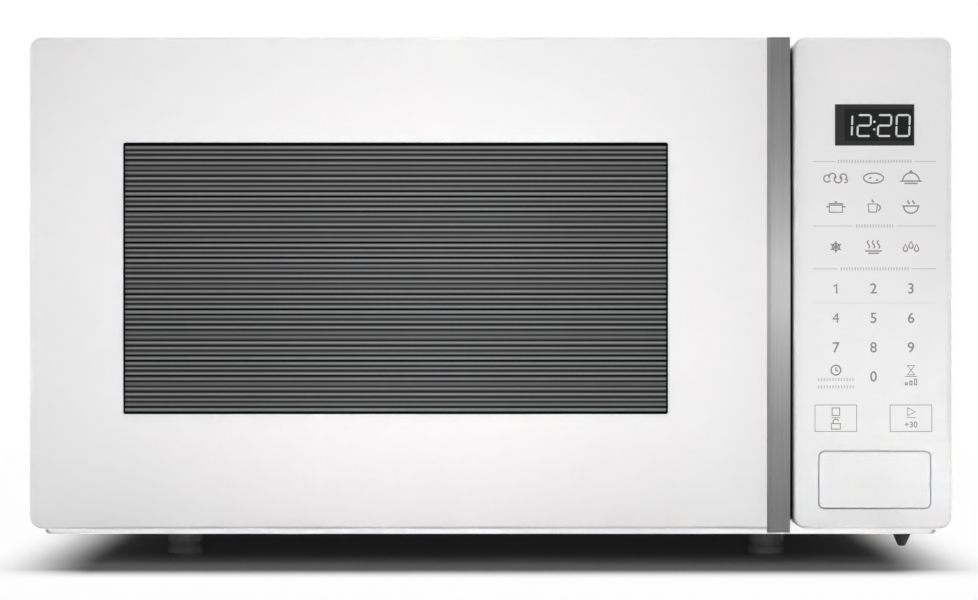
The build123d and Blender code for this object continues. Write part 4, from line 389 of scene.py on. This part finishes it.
def screen_steel(name, colour):
    """Dark painted steel, with the screen's staggered round holes inside the window's outline."""
    look = Look(name)
    x, z = look.axis("X"), look.axis("Z")
    turned = look.tree.nodes.new("ShaderNodeCombineXYZ")
    look.put(turned.inputs[0], look.math("ADD", x, z))
    look.put(turned.inputs[1], look.math("SUBTRACT", x, z))
    dots = look.cells(1.0 / (hole_pitch * math.sqrt(2.0)), vector=turned.outputs[0], random=0.0)
    dots.voronoi_dimensions = "2D"
    hole = look.spread(dots.outputs["Distance"], hole_radius - hole_edge, hole_radius + hole_edge, 1.0, 0.0)
    inside = look.math("GREATER_THAN", depth_inside(look, screen_low, screen_high, hole_margin), 0.0)
    open_here = look.math("MULTIPLY", hole, inside)
    peel = look.noise(700.0, 2.0)
    look.set(
        Base_Color=look.mix(open_here, colour, tint(colour, 0.12)),
        Roughness=look.spread(peel, 0.3, 0.7, 0.34, 0.46),
    )
    height = look.math("SUBTRACT", look.math("MULTIPLY", peel, 0.2), open_here)
    look.bump(height, 0.5, 0.0004)
    return look.material


def gloss_black(name, colour, rough=0.12):
    """Tinted lens or display face: near black and glossy."""
    look = Look(name)
    look.set(
        Base_Color=look.mix(look.noise(20.0, 2.0), tint(colour, 0.95), tint(colour, 1.05)),
        Roughness=look.spread(look.noise(60.0, 2.0), 0.3, 0.7, rough, rough + 0.05),
        Specular_IOR_Level=0.2,
    )
    look.bump(look.noise(40.0, 1.0), 0.01, 0.0005)
    return look.material


def bare_metal(name, colour, rough=0.3, streak=(1.0, 1.0, 1.0), scale=500.0):
    """Bare drawn, rolled or cast metal."""
    look = Look(name)
    grain = look.noise(scale, 4.0, 0.6, look.scaled(*streak))
    look.set(
        Base_Color=look.mix(grain, tint(colour, 0.88), tint(colour, 1.08)),
        Metallic=1.0,
        Roughness=look.spread(grain, 0.3, 0.7, rough - 0.06, rough + 0.08),
    )
    look.bump(grain, 0.08, 0.0002)
    return look.material


sheet_pitch = 0.5 * MM
wire_pitch = 1.1 * MM


def laminated(name, colour):
    """A stack of varnished steel sheets, seen as fine lines along one axis."""
    look = Look(name)
    turn = look.math("MULTIPLY", look.axis("X"), 2 * math.pi / sheet_pitch)
    sheets = look.math("COSINE", turn)
    look.set(
        Base_Color=look.mix(look.spread(sheets, -1.0, 1.0, 0.0, 1.0), tint(colour, 0.6), tint(colour, 1.2)),
        Metallic=0.6,
        Roughness=0.5,
    )
    look.bump(sheets, 0.3, 0.0003)
    return look.material


def wound(name, colour):
    """Layers of enamelled wire, as round level turns, with painted shade in the grooves between them."""
    look = Look(name)
    turn = look.math("MULTIPLY", look.axis("Z"), math.pi / wire_pitch)
    round_top = look.math("ABSOLUTE", look.math("SINE", turn))
    look.set(
        Base_Color=look.mix(round_top, tint(colour, 0.35), tint(colour, 1.1)),
        Metallic=0.7,
        Roughness=0.32,
        Coat_Weight=0.6,
        Coat_Roughness=0.15,
    )
    look.bump(round_top, 0.8, 0.0008)
    return look.material


def laminate_board(name, colour):
    """Circuit board: solder mask with lighter tracks beneath it."""
    look = Look(name)
    tracks = look.tree.nodes.new("ShaderNodeTexBrick")
    look.put(tracks.inputs["Vector"], look.place)
    look.put(tracks.inputs["Scale"], 160.0)
    look.put(tracks.inputs["Color1"], colour)
    look.put(tracks.inputs["Color2"], tint(colour, 1.25))
    look.put(tracks.inputs["Mortar"], tint(colour, 1.8))
    look.set(Base_Color=tracks.outputs["Color"], Roughness=0.3)
    look.bump(look.noise(900.0, 2.0), 0.05, 0.0002)
    return look.material


def speckled(name, colour, rough=0.7, scale=700.0):
    """Pressed or sintered stock with fine flecks, as of mica or ferrite."""
    look = Look(name)
    flecks = look.cells(scale).outputs["Color"]
    share = look.ramp(flecks, [(0.0, 0.0), (1.0, 1.0)])
    look.set(
        Base_Color=look.mix(share, tint(colour, 0.8), tint(colour, 1.25)),
        Roughness=rough,
    )
    look.bump(look.noise(scale * 2, 3.0), 0.1, 0.0002)
    return look.material


def ink(name, grey, glow=0.0):
    """Printed ink, or lit segments where glow is above zero."""
    look = Look(name)
    colour = (grey, grey, grey)
    look.set(
        Base_Color=look.mix(look.noise(2500.0, 2.0), tint(colour, 0.93), tint(colour, 1.05)),
        Roughness=0.5,
    )
    if glow > 0:
        look.set(Emission_Color=(0.95, 0.98, 1.0), Emission_Strength=glow)
    return look.material


white = (0.83, 0.83, 0.828)
white_paint = (0.82, 0.822, 0.82)
slot_looks = {
    "cabinet_paint": powder_coat("cabinet_paint", white_paint),
    "cavity_enamel": enamel("cavity_enamel", (0.70, 0.71, 0.71)),
    "zinc_steel": zinc("zinc_steel", (0.60, 0.61, 0.62)),
    "fascia_plastic": moulded("fascia_plastic", white),
    "keypad_film": moulded("keypad_film", (0.825, 0.825, 0.823), rough=0.38, grain=1600.0),
    "choke_plastic": moulded("choke_plastic", (0.66, 0.67, 0.67), rough=0.5),
    "window_pane": window_pane("window_pane"),
    "screen_steel": screen_steel("screen_steel", (0.055, 0.055, 0.058)),
    "clear_film": clear_glass("clear_film", (0.93, 0.94, 0.94), 0.05, 1.3),
    "display_lens": gloss_black("display_lens", (0.022, 0.023, 0.024), 0.16),
    "display_part": gloss_black("display_part", (0.02, 0.021, 0.022), 0.3),
    "bar_steel": brushed_bar("bar_steel", (0.57, 0.57, 0.574)),
    "carrier_plastic": moulded("carrier_plastic", (0.030, 0.030, 0.032), rough=0.5),
    "foot_rubber": rubber("foot_rubber", (0.050, 0.050, 0.050)),
    "tray_glass": clear_glass("tray_glass", (0.94, 0.98, 0.97), 0.02, 1.5),
    "turntable_plastic": moulded("turntable_plastic", (0.76, 0.76, 0.74), rough=0.45),
    "core_steel": laminated("core_steel", (0.12, 0.12, 0.125)),
    "winding_copper": wound("winding_copper", (0.50, 0.20, 0.08)),
    "bright_aluminium": bare_metal("bright_aluminium", (0.75, 0.76, 0.77), 0.28, (1.0, 0.1, 1.0)),
    "ferrite": speckled("ferrite", (0.05, 0.05, 0.055), 0.6),
    "lamp_glass": clear_glass("lamp_glass", (0.98, 0.96, 0.90)),
    "spring_steel": bare_metal("spring_steel", (0.62, 0.62, 0.62), 0.22),
    "mica": speckled("mica", (0.45, 0.40, 0.32), 0.55, 500.0),
    "black_plastic": moulded("black_plastic", (0.025, 0.025, 0.026), rough=0.5),
    "board_laminate": laminate_board("board_laminate", (0.03, 0.14, 0.05)),
    "latch_plastic": moulded("latch_plastic", (0.80, 0.79, 0.75), rough=0.42),
}
# The two pieces whose walls stand in the gap, with painted shade there
node_looks = {
    "control_panel": moulded("panel_plastic", white, shade_gap=True),
    "front_plate": powder_coat("plate_paint", white_paint, shade_gap=True),
}
for row in frame["record"]["subparts"]:
    mesh = frame["nodes"][row["node"]].data
    mesh.materials.clear()
    mesh.materials.append(node_looks.get(row["node"], slot_looks[row["material_slot"]]))


def keep_piece(name, mesh, body, material, smooth=False):
    """Puts a finished mesh in the scene as a piece of a body."""
    piece = bpy.data.objects.new(name, mesh)
    bpy.context.scene.collection.objects.link(piece)
    mesh.materials.clear()
    mesh.materials.append(material)
    for face in mesh.polygons:
        face.use_smooth = smooth
    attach(piece, body)
    return piece


def joined(name, meshes):
    """One mesh from several, which are then removed."""
    whole = bmesh.new()
    for mesh in meshes:
        whole.from_mesh(mesh)
        bpy.data.meshes.remove(mesh)
    result = bpy.data.meshes.new(name)
    whole.to_mesh(result)
    whole.free()
    return result


print_thick = 0.03 * MM
# The built-in face's digits are this share of its size
digit_share = 0.73


def on_film(x, z):
    """Turns a flat drawing in its own X and Y to face the front, at this x and z on the keypad's film."""
    return Matrix.Translation((x, film_front, z)) @ Matrix.Rotation(math.radians(90), 4, "X")


def outline_mesh(curve, matrix):
    """A curve or text made into a mesh in its place."""
    holder = bpy.data.objects.new("drawing", curve)
    bpy.context.scene.collection.objects.link(holder)
    bpy.context.view_layer.update()
    graph = bpy.context.evaluated_depsgraph_get()
    mesh = bpy.data.meshes.new_from_object(holder.evaluated_get(graph))
    bpy.data.objects.remove(holder)
    bpy.data.curves.remove(curve)
    mesh.transform(matrix)
    return mesh


def characters(text, x, z, height, swell=0.0):
    """Plain characters of the built-in face, centred on a place and made bolder by this much."""
    curve = bpy.data.curves.new("numeral", "FONT")
    curve.body = text
    curve.size = height / digit_share
    curve.align_x = "CENTER"
    curve.align_y = "CENTER"
    curve.offset = swell
    curve.extrude = print_thick / 2
    curve.resolution_u = 6
    return outline_mesh(curve, on_film(x, z))


def strokes(lines, x, z, width, scale=1.0):
    """Flat lines about a place, each a list of points in millimetres, closed if its ends meet."""
    curve = bpy.data.curves.new("strokes", "CURVE")
    curve.dimensions = "3D"
    curve.bevel_depth = width / 2
    curve.bevel_resolution = 1
    for points in lines:
        closed = (Vector(points[0]) - Vector(points[-1])).length < 1e-6 and len(points) > 2
        used = points[:-1] if closed else points
        spline = curve.splines.new("POLY")
        spline.points.add(len(used) - 1)
        spline.use_cyclic_u = closed
        for point, (px, pz) in zip(spline.points, used):
            point.co = (px * MM * scale, pz * MM * scale, 0.0, 1.0)
    flat = Matrix.Diagonal((1.0, 1.0, print_thick / width, 1.0))
    curve.use_fill_caps = True
    return outline_mesh(curve, on_film(x, z) @ flat)


def arc(cx, cz, radius, start, end, steps=14):
    """Points on an arc in millimetres, angles in degrees."""
    turns = [math.radians(start + (end - start) * i / steps) for i in range(steps + 1)]
    return [(cx + radius * math.cos(t), cz + radius * math.sin(t)) for t in turns]


def oval(cx, cz, half_x, half_z, steps=18):
    """A closed oval."""
    turns = [2 * math.pi * i / steps for i in range(steps)]
    points = [(cx + half_x * math.cos(t), cz + half_z * math.sin(t)) for t in turns]
    return points + [points[0]]


def box_line(x0, z0, x1, z1):
    """A closed rectangle."""
    return [(x0, z0), (x1, z0), (x1, z1), (x0, z1), (x0, z0)]


def wave(cx, z0, z1, reach, steps=8):
    """A rising wisp of steam."""
    shares = [i / steps for i in range(steps + 1)]
    return [(cx + reach * math.sin(2 * math.pi * share), z0 + (z1 - z0) * share) for share in shares]


def drop(cx, fall):
    """A falling drop's closed outline, lowered by this much."""
    outline = [(0.0, 2.3), (-0.9, 0.4), (-0.55, -0.35), (0.0, -0.6), (0.55, -0.35), (0.9, 0.4), (0.0, 2.3)]
    return [(cx + x, z - fall) for x, z in outline]


def spoke(radius, angle):
    """A point at this radius and this angle in radians."""
    return (radius * math.cos(angle), radius * math.sin(angle))


flake_arms = [math.radians(30 + 60 * n) for n in range(6)]
flake_barb = 0.42

# Each symbol is a list of lines, in millimetres about its middle
symbols = {
    "popped_corn": [arc(-3.4, -0.2, 1.4, 40, 330), arc(-1.4, 0.5, 1.4, -30, 210),
                    arc(0.9, -0.4, 1.5, 120, 420), arc(3.0, 0.4, 1.3, -60, 220),
                    arc(3.8, -1.0, 0.8, -120, 90)],
    "potato": [oval(0, 0, 4.0, 2.0), arc(-1.4, 0.3, 0.4, 200, 380, 5), arc(1.3, -0.5, 0.4, 200, 380, 5)],
    "covered_plate": [arc(0, -1.2, 3.3, 0, 180), [(-4.3, -1.2), (4.3, -1.2)], [(-2.6, -2.1), (2.6, -2.1)],
                      arc(0, 2.5, 0.4, 0, 360, 6)],
    "pot": [box_line(-2.6, -2.1, 2.6, 0.7), [(-3.8, 0.1), (-2.6, 0.1)], [(2.6, 0.1), (3.8, 0.1)],
            [(-2.9, 1.3), (2.9, 1.3)], [(-0.5, 2.0), (0.5, 2.0)]],
    "bowl": [arc(0, 0.4, 2.9, 180, 360), [(-3.4, 0.4), (3.4, 0.4)],
             wave(-1.0, 1.2, 2.6, 0.35), wave(1.0, 1.2, 2.6, 0.35)],
    "cup": [[(-2.2, 1.2), (-1.8, -2.0), (1.2, -2.0), (1.6, 1.2), (-2.2, 1.2)], arc(1.6, -0.3, 1.1, -80, 80),
            wave(-0.3, 1.8, 2.9, 0.3)],
    "flake": [[spoke(2.3, a), spoke(-2.3, a)] for a in flake_arms[:3]]
             + [[spoke(1.6, a - flake_barb), spoke(1.1, a), spoke(1.6, a + flake_barb)] for a in flake_arms],
    "warm": [wave(-2.0, -0.6, 2.6, 0.45), wave(0, -0.6, 2.6, 0.45), wave(2.0, -0.6, 2.6, 0.45),
             [(-3.3, -1.6), (3.3, -1.6)], [(-2.2, -2.5), (2.2, -2.5)]],
    "drops": [drop(-2.2, 1.2), drop(0.0, 0.0), drop(2.2, 1.2)],
    "clock": [oval(0, 0, 2.1, 2.1), [(0, 1.3), (0, 0), (1.0, -0.5)]],
    "hourglass": [[(-1.5, 2.0), (1.5, 2.0), (-1.5, -2.0), (1.5, -2.0), (-1.5, 2.0)]],
    "level_bars": [box_line(-2.4, -1.2, -1.5, -0.4), box_line(-0.45, -1.2, 0.45, 0.4),
                   box_line(1.5, -1.2, 2.4, 1.2)],
    "square": [box_line(-1.5, -1.5, 1.5, 1.5)],
    "open_lock": [box_line(-1.8, -1.7, 1.8, 0.5), [(-1.1, 0.5), (-1.1, 1.2)] + arc(0, 1.2, 1.1, 180, 20, 8)],
    "triangle": [[(-1.3, -1.6), (1.7, 0.0), (-1.3, 1.6), (-1.3, -1.6)]],
}

# Keypad print: columns from the button's middle, rows down from the fascia's top
columns = [-20.4 * MM, -0.6 * MM, 19.1 * MM]
numeral_rows = [132.4 * MM, 147.9 * MM, 163.4 * MM, 178.7 * MM]
numeral_height = 5.6 * MM
symbol_rows = [
    (74.1 * MM, ["popped_corn", "potato", "covered_plate"]),
    (89.3 * MM, ["pot", "cup", "bowl"]),
    (110.3 * MM, ["flake", "warm", "drops"]),
]
symbol_width = 0.74 * MM
symbol_scale = 1.32
small_scale = 1.22
rule_width = 0.38 * MM
numeral_swell = 0.07 * MM
flagged_width = 0.98 * MM
# The 1's points in millimetres
flagged_one = [(-1.1, 1.35), (0.45, 2.35), (0.45, -2.35)]
# The clock and the hourglass stand this far over the 0's row, with a short rule and level bars below
timer_rise = 3.6 * MM
timer_rule_fall, timer_rule_half = 3.3 * MM, 3.2 * MM
level_bars_fall = 6.2 * MM
# A row of short upright ticks: half a tick, its width and the pitch
tick_half, tick_width, tick_pitch = 0.85, 0.62 * MM, 1.45 * MM
# The two rows of ticks below the clock: their drops from the 0's row and their half width
tick_row_drops, tick_row_half = (1.3 * MM, 5.2 * MM), 9.0 * MM
# Each dividing rule: its drop and the half width of the row of ticks in its middle
rules = [(65.3 * MM, 19.0 * MM), (99.3 * MM, 9.5 * MM), (121.8 * MM, 17.5 * MM)]
rule_half = 32.3 * MM
rule_gap = 2.0 * MM
faint_rule_drop, faint_rule_width = 139.8 * MM, 0.15 * MM
key_box = (21.9 * MM, 13.9 * MM)
key_box_drop = 200.35 * MM
key_box_line = 0.52 * MM
# In each key's box: a symbol above, a short rule, and a symbol or a label below
box_symbol_rise, box_rule_rise, box_label_fall = 3.4 * MM, 0.3 * MM, 3.5 * MM
box_rule_half = 2.4 * MM
box_label_height = 3.2 * MM


def level_line(x, z, half, width):
    """A level line about a place, reaching this far to each side."""
    return strokes([[(-half / MM, 0.0), (half / MM, 0.0)]], x, z, width)


def ticks(x, z, half):
    """A level row of short upright ticks about a place, reaching this far to each side."""
    count = int(2 * half / tick_pitch)
    places = [(-half + 2 * half * i / count) / MM for i in range(count + 1)]
    return strokes([[(place, -tick_half), (place, tick_half)] for place in places], x, z, tick_width)


def symbol(name, x, z, scale):
    """One of the symbols, about a place."""
    return strokes(symbols[name], x, z, symbol_width, scale)


def numerals():
    """The digits 1 to 9 in three rows, and 0 below them. The 1 is drawn with a flag, the 4 kept open."""
    meshes = [strokes([flagged_one], keys_x + columns[0], fascia_top - numeral_rows[0], flagged_width)]
    for number in range(1, 9):
        x, z = keys_x + columns[number % 3], fascia_top - numeral_rows[number // 3]
        swell = 0.0 if number == 3 else numeral_swell
        meshes.append(characters(str(number + 1), x, z, numeral_height, swell))
    x, z = keys_x + columns[1], fascia_top - numeral_rows[3]
    meshes.append(characters("0", x, z, numeral_height, numeral_swell))
    return joined("key_numerals", meshes)


def key_symbols():
    """A small generic symbol for each function key."""
    meshes = [
        symbol(name, keys_x + column, fascia_top - down, symbol_scale)
        for down, names in symbol_rows
        for column, name in zip(columns, names)
    ]
    left, right = keys_x + columns[0], keys_x + columns[2]
    z = fascia_top - numeral_rows[3] + timer_rise
    meshes.append(symbol("clock", left, z, small_scale))
    meshes.append(symbol("hourglass", right, z, small_scale))
    meshes.append(level_line(right, z - timer_rule_fall, timer_rule_half, rule_width))
    meshes.append(symbol("level_bars", right, z - level_bars_fall, small_scale))
    return joined("key_symbols", meshes)


def key_rules():
    """Thin rules between the groups of keys, each broken by a row of short ticks."""
    meshes = []
    for down, half in rules:
        z = fascia_top - down
        for side in (-1, 1):
            line = [(side * (half + rule_gap) / MM, 0.0), (side * rule_half / MM, 0.0)]
            meshes.append(strokes([line], keys_x, z, rule_width))
        meshes.append(ticks(keys_x, z, half))
    meshes.append(level_line(keys_x, fascia_top - faint_rule_drop, rule_half, faint_rule_width))
    for down in tick_row_drops:
        meshes.append(ticks(keys_x + columns[0], fascia_top - numeral_rows[3] - down, tick_row_half))
    return joined("key_rules", meshes)


def key_boxes():
    """The outlined stop and start keys."""
    meshes = []
    half_x, half_z = key_box[0] / 2 / MM, key_box[1] / 2 / MM
    for column, upper, lower in ((columns[0], "square", "open_lock"), (columns[2], "triangle", None)):
        x, z = keys_x + column, fascia_top - key_box_drop
        meshes.append(strokes([box_line(-half_x, -half_z, half_x, half_z)], x, z, key_box_line))
        meshes.append(symbol(upper, x, z + box_symbol_rise, symbol_scale))
        meshes.append(level_line(x, z + box_rule_rise, box_rule_half, rule_width))
        if lower:
            meshes.append(symbol(lower, x, z - box_label_fall, symbol_scale))
        else:
            meshes.append(characters("+30", x, z - box_label_fall, box_label_height, numeral_swell))
    return joined("key_boxes", meshes)


keep_piece("key_numerals", numerals(), "root", ink("ink_dark", 0.22))
keep_piece("key_symbols", key_symbols(), "root", ink("ink_mid", 0.22))
keep_piece("key_rules", key_rules(), "root", ink("ink_light", 0.50))
keep_piece("key_boxes", key_boxes(), "root", ink("ink_grey", 0.27))

# Clock display: seven-segment digits just in front of the lens's face, on a black ground
segment_points = {
    "a": ((0, 1), (1, 1)), "b": ((1, 1), (1, 0.5)), "c": ((1, 0.5), (1, 0)), "d": ((0, 0), (1, 0)),
    "e": ((0, 0), (0, 0.5)), "f": ((0, 0.5), (0, 1)), "g": ((0, 0.5), (1, 0.5)),
}
segments_lit = {"0": "abcdef", "1": "bc", "2": "abged"}
digit_size = (6.8 * MM, 11.0 * MM)
digit_lean = 0.03
segment_width = 1.0 * MM
segment_gap = 0.16 * MM
# Each digit and its left side, from the display's middle
clock_digits = [("1", -18.8 * MM), ("2", -9.0 * MM), ("2", 1.7 * MM), ("0", 11.4 * MM)]
clock_drop = 0.35 * MM
# The colon: its place, its dots' heights as shares of a digit's, and their radius
colon_left, colon_levels, colon_radius = -0.3 * MM, (0.32, 0.68), 0.6 * MM
ground_thick, digit_thick = 0.02 * MM, 0.03 * MM
ground_left, ground_right, ground_margin = 5.0 * MM, 0.8 * MM, 2.4 * MM


def segment(start, end):
    """One lit bar with pointed ends, as corner points."""
    a, b = Vector(start), Vector(end)
    along = (b - a).normalized()
    across = Vector((-along.y, along.x)) * segment_width / 2
    a, b = a + along * segment_gap, b - along * segment_gap
    tip = along * segment_width / 2
    return [a, a + tip + across, b - tip + across, b, b - tip - across, a + tip - across]


def flat_shapes(name, shapes, y, thick):
    """Thin plates of the given outlines in X and Z, with their front at y."""
    made = bmesh.new()
    for points in shapes:
        front = [made.verts.new((x, y, z)) for x, z in points]
        back = [made.verts.new((x, y + thick, z)) for x, z in points]
        made.faces.new(front)
        made.faces.new(list(reversed(back)))
        for i in range(len(points)):
            j = (i + 1) % len(points)
            made.faces.new((front[j], front[i], back[i], back[j]))
    bmesh.ops.recalc_face_normals(made, faces=made.faces)
    mesh = bpy.data.meshes.new(name)
    made.to_mesh(mesh)
    made.free()
    return mesh


def clock_shapes():
    """The outlines of the lit segments of 12:20."""
    middle_x = (display_low.x + display_high.x) / 2
    low_z = (display_low.z + display_high.z) / 2 - clock_drop - digit_size[1] / 2
    shapes = []

    def placed(points, left):
        return [(middle_x + left + p.x + digit_lean * p.y, low_z + p.y) for p in points]

    for figure, left in clock_digits:
        for letter in segments_lit[figure]:
            ends = [(x * digit_size[0], z * digit_size[1]) for x, z in segment_points[letter]]
            shapes.append(placed(segment(*ends), left))
    dot = [Vector(spoke(colon_radius, 2 * math.pi * i / 10)) for i in range(10)]
    for level in colon_levels:
        centre = Vector((0, digit_size[1] * level))
        shapes.append(placed([centre + corner for corner in dot], colon_left))
    return shapes


# Springs: the button's and the latch bar's, each shown as a wound coil. The latch bar's only shows
# its coil
spring_wire = 0.6 * MM
spring_pitch = 1.9 * MM
turn_steps = 16
along_y, along_z = 1, 2


def coil_spring(node, body, along):
    """A wound spring in the place of a node's tube, along its Y or Z."""
    low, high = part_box(node)
    centre = (low + high) / 2
    length = (high - low)[along] - spring_wire
    radius = (high.x - low.x - spring_wire) / 2
    turns = round(length / spring_pitch)
    curve = bpy.data.curves.new(node, "CURVE")
    curve.dimensions = "3D"
    curve.bevel_depth = spring_wire / 2
    curve.bevel_resolution = 2
    curve.use_fill_caps = True
    spline = curve.splines.new("POLY")
    spline.points.add(turns * turn_steps)
    for step, point in enumerate(spline.points):
        angle = 2 * math.pi * step / turn_steps
        place = Vector((centre.x + radius * math.cos(angle), 0.0, 0.0))
        place[3 - along] = centre[3 - along] + radius * math.sin(angle)
        place[along] = low[along] + spring_wire / 2 + length * step / (turns * turn_steps)
        point.co = (*place, 1.0)
    mesh = outline_mesh(curve, Matrix.Identity(4))
    piece = keep_piece(node + "_coil", mesh, body, slot_looks["spring_steel"], smooth=True)
    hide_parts(node)
    return piece


coil_spring("latch_spring", "door", along_z)
button_coil = coil_spring("button_spring", "root", along_y)
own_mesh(button_coil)

lens_front = display_low.y
ground_corners = (
    display_low.x + ground_left,
    display_low.z + ground_margin,
    display_high.x - ground_right,
    display_high.z - ground_margin,
)
ground_front = lens_front - ground_thick
ground_mesh = flat_shapes("clock_ground", [box_line(*ground_corners)[:-1]], ground_front, ground_thick)
ground_look = gloss_black("clock_ground", (0.004, 0.004, 0.004), 0.2)
keep_piece("clock_ground", ground_mesh, "root", ground_look)
digits_mesh = flat_shapes("clock_digits", clock_shapes(), ground_front - digit_thick, digit_thick)
keep_piece("clock_digits", digits_mesh, "root", ink("lit_segments", 0.3, 0.36))

# Stage: a pale floor with the oven's contact shadow painted into its colour, which stays white further off
floor_reach = 6.0
# The shadow fades out between these places, to both sides, in front and behind
shadow_side = (0.204, 0.272)
shadow_front = (fascia_front - 32 * MM, fascia_front - 80 * MM)
shadow_back = (cabinet_back + 2 * MM, cabinet_back + 30 * MM)
# A faint painted glow that lightens the painted shadow
shadow_glow = 0.004
floor_pale, painted_shadow_grey = (0.93, 0.93, 0.93), (0.13, 0.13, 0.13)
# How far from the middle the floor turns plain white, and how white it is before that
white_near, white_far = 0.40, 0.9
white_least = 0.96


def pale_floor():
    """The floor's material: white, with a painted shadow where the oven stands close over it, and plain
    white far off.
    """
    look = Look("pale_floor")
    x, y = look.axis("X"), look.axis("Y")
    across = look.spread(look.math("ABSOLUTE", x), *shadow_side, 1.0, 0.0)
    ahead = look.spread(y, *shadow_front, 1.0, 0.0)
    behind = look.spread(y, *shadow_back, 1.0, 0.0)
    under = look.math("MULTIPLY", across, look.math("MULTIPLY", ahead, behind))
    ease = look.math("SUBTRACT", 3.0, look.math("MULTIPLY", under, 2.0))
    smooth = look.math("MULTIPLY", under, look.math("MULTIPLY", under, ease))
    look.set(
        Base_Color=look.mix(smooth, floor_pale, painted_shadow_grey),
        Roughness=0.9,
        Specular_IOR_Level=0.1,
        Emission_Color=(1.0, 1.0, 1.0),
        Emission_Strength=look.math("MULTIPLY", smooth, shadow_glow),
    )
    rays = look.tree.nodes.new("ShaderNodeLightPath")
    seen = look.math(
        "MAXIMUM",
        rays.outputs["Is Camera Ray"],
        look.math("MAXIMUM", rays.outputs["Is Glossy Ray"], rays.outputs["Is Transmission Ray"]),
    )
    distance = look.math("SQRT", look.math("ADD", look.math("MULTIPLY", x, x), look.math("MULTIPLY", y, y)))
    far = look.math("MAXIMUM", look.spread(distance, white_near, white_far, 0.0, 1.0), white_least)
    share = look.math("MULTIPLY", look.math("MULTIPLY", seen, far), look.math("SUBTRACT", 1.0, smooth))
    white_light = look.tree.nodes.new("ShaderNodeEmission")
    look.put(white_light.inputs["Color"], (1.0, 1.0, 1.0))
    blend = look.tree.nodes.new("ShaderNodeMixShader")
    look.put(blend.inputs[0], share)
    look.put(blend.inputs[1], look.shader.outputs[0])
    look.put(blend.inputs[2], white_light.outputs[0])
    look.put(look.output.inputs["Surface"], blend.outputs[0])
    return look.material


floor_mesh = bpy.data.meshes.new("floor")
corners = [(x * floor_reach, y * floor_reach, 0) for x, y in ((-1, -1), (1, -1), (1, 1), (-1, 1))]
floor_mesh.from_pydata(corners, [], [(0, 1, 2, 3)])
floor_mesh.materials.append(pale_floor())
floor = bpy.data.objects.new("floor", floor_mesh)
bpy.context.scene.collection.objects.link(floor)

world_level = 0.22


def white_world():
    """Plain white where it is seen, and a softer level where it lights the oven."""
    world = bpy.data.worlds.new("white_world")
    bpy.context.scene.world = world
    world.use_nodes = True
    tree = world.node_tree
    rays = tree.nodes.new("ShaderNodeLightPath")
    seen = tree.nodes.new("ShaderNodeMath")
    seen.operation = "MAXIMUM"
    tree.links.new(rays.outputs["Is Camera Ray"], seen.inputs[0])
    shown = tree.nodes.new("ShaderNodeMath")
    shown.operation = "MAXIMUM"
    tree.links.new(rays.outputs["Is Glossy Ray"], seen.inputs[1])
    tree.links.new(rays.outputs["Is Transmission Ray"], shown.inputs[0])
    tree.links.new(seen.outputs[0], shown.inputs[1])
    strength = tree.nodes.new("ShaderNodeMapRange")
    strength.inputs["To Min"].default_value = world_level
    strength.inputs["To Max"].default_value = 1.0
    tree.links.new(shown.outputs[0], strength.inputs["Value"])
    sky = tree.nodes["Background"]
    sky.inputs["Color"].default_value = (1.0, 1.0, 1.0, 1.0)
    tree.links.new(strength.outputs[0], sky.inputs["Strength"])


def soft_lamp(name, place, target, size, watts, gloss=False, spread=180.0):
    """A rectangular lamp aimed at a point, with its beam's angle, and seen in gloss only where asked."""
    lamp = bpy.data.lights.new(name, "AREA")
    lamp.shape = "RECTANGLE"
    lamp.size, lamp.size_y = size
    lamp.energy = watts
    lamp.spread = math.radians(spread)
    holder = bpy.data.objects.new(name, lamp)
    holder.location = place
    holder.rotation_euler = (Vector(target) - Vector(place)).to_track_quat("-Z", "Y").to_euler()
    holder.visible_camera = False
    holder.visible_glossy = gloss
    bpy.context.scene.collection.objects.link(holder)


def beam_lamp(name, x, z, side, watts, spread):
    """A small square lamp in front, aimed straight back at the fascia."""
    soft_lamp(name, (x, lamp_front, z), (x, fascia_front, z), (side, side), watts, spread=spread)


white_world()

# Lamps: a broad one in front, small beams on the door, the keys, the clock and the sill, and four around
lamp_front = -2.35
soft_lamp("front_lamp", (0.0, lamp_front, 0.10), (0.0, fascia_front, 0.14), (0.50, 0.18), 13.6)
beam_lamp("pool_lamp", -0.03, 0.13, 0.16, 0.192, 18.0)
beam_lamp("key_lamp", 0.24, 0.02, 0.10, 0.036, 8.0)
beam_lamp("clock_lamp", 0.22, 0.27, 0.10, 0.0085, 8.0)
sill_place = (0.0, fascia_front - 50 * MM, 3 * MM)
sill_target = (0.0, plate_low.y, (plate_low.z + fascia_low.z) / 2)
soft_lamp("sill_lamp", sill_place, sill_target, (0.47, 2 * MM), 0.0058, spread=14.0)
centre = (cad_box[0] + cad_box[1]) / 2
soft_lamp("top_lamp", (0.1, 0.15, 2.1), centre, (1.4, 1.4), 11.0, gloss=True)
soft_lamp("left_lamp", (-2.2, -0.5, 1.1), centre, (1.0, 1.2), 14.0)
soft_lamp("right_lamp", (2.2, -0.2, 1.1), centre, (1.0, 1.2), 17.0)
soft_lamp("back_lamp", (0.3, 2.4, 1.2), centre, (1.4, 1.2), 13.0)

# Camera: level with the fascia's middle and square to it
camera_distance = 1.35
camera_x, camera_z = -0.9 * MM, 138.3 * MM
camera_data = bpy.data.cameras.new("photo_camera")
camera_data.sensor_width = 36.0
camera_data.lens = 94.5
camera_data.clip_end = 50.0
camera = bpy.data.objects.new("photo_camera", camera_data)
camera.location = (camera_x, fascia_front - camera_distance, camera_z)
camera.rotation_euler = (math.radians(90), 0.0, 0.0)
bpy.context.scene.collection.objects.link(camera)
bpy.context.scene.camera = camera
bpy.context.scene.view_settings.view_transform = "Standard"
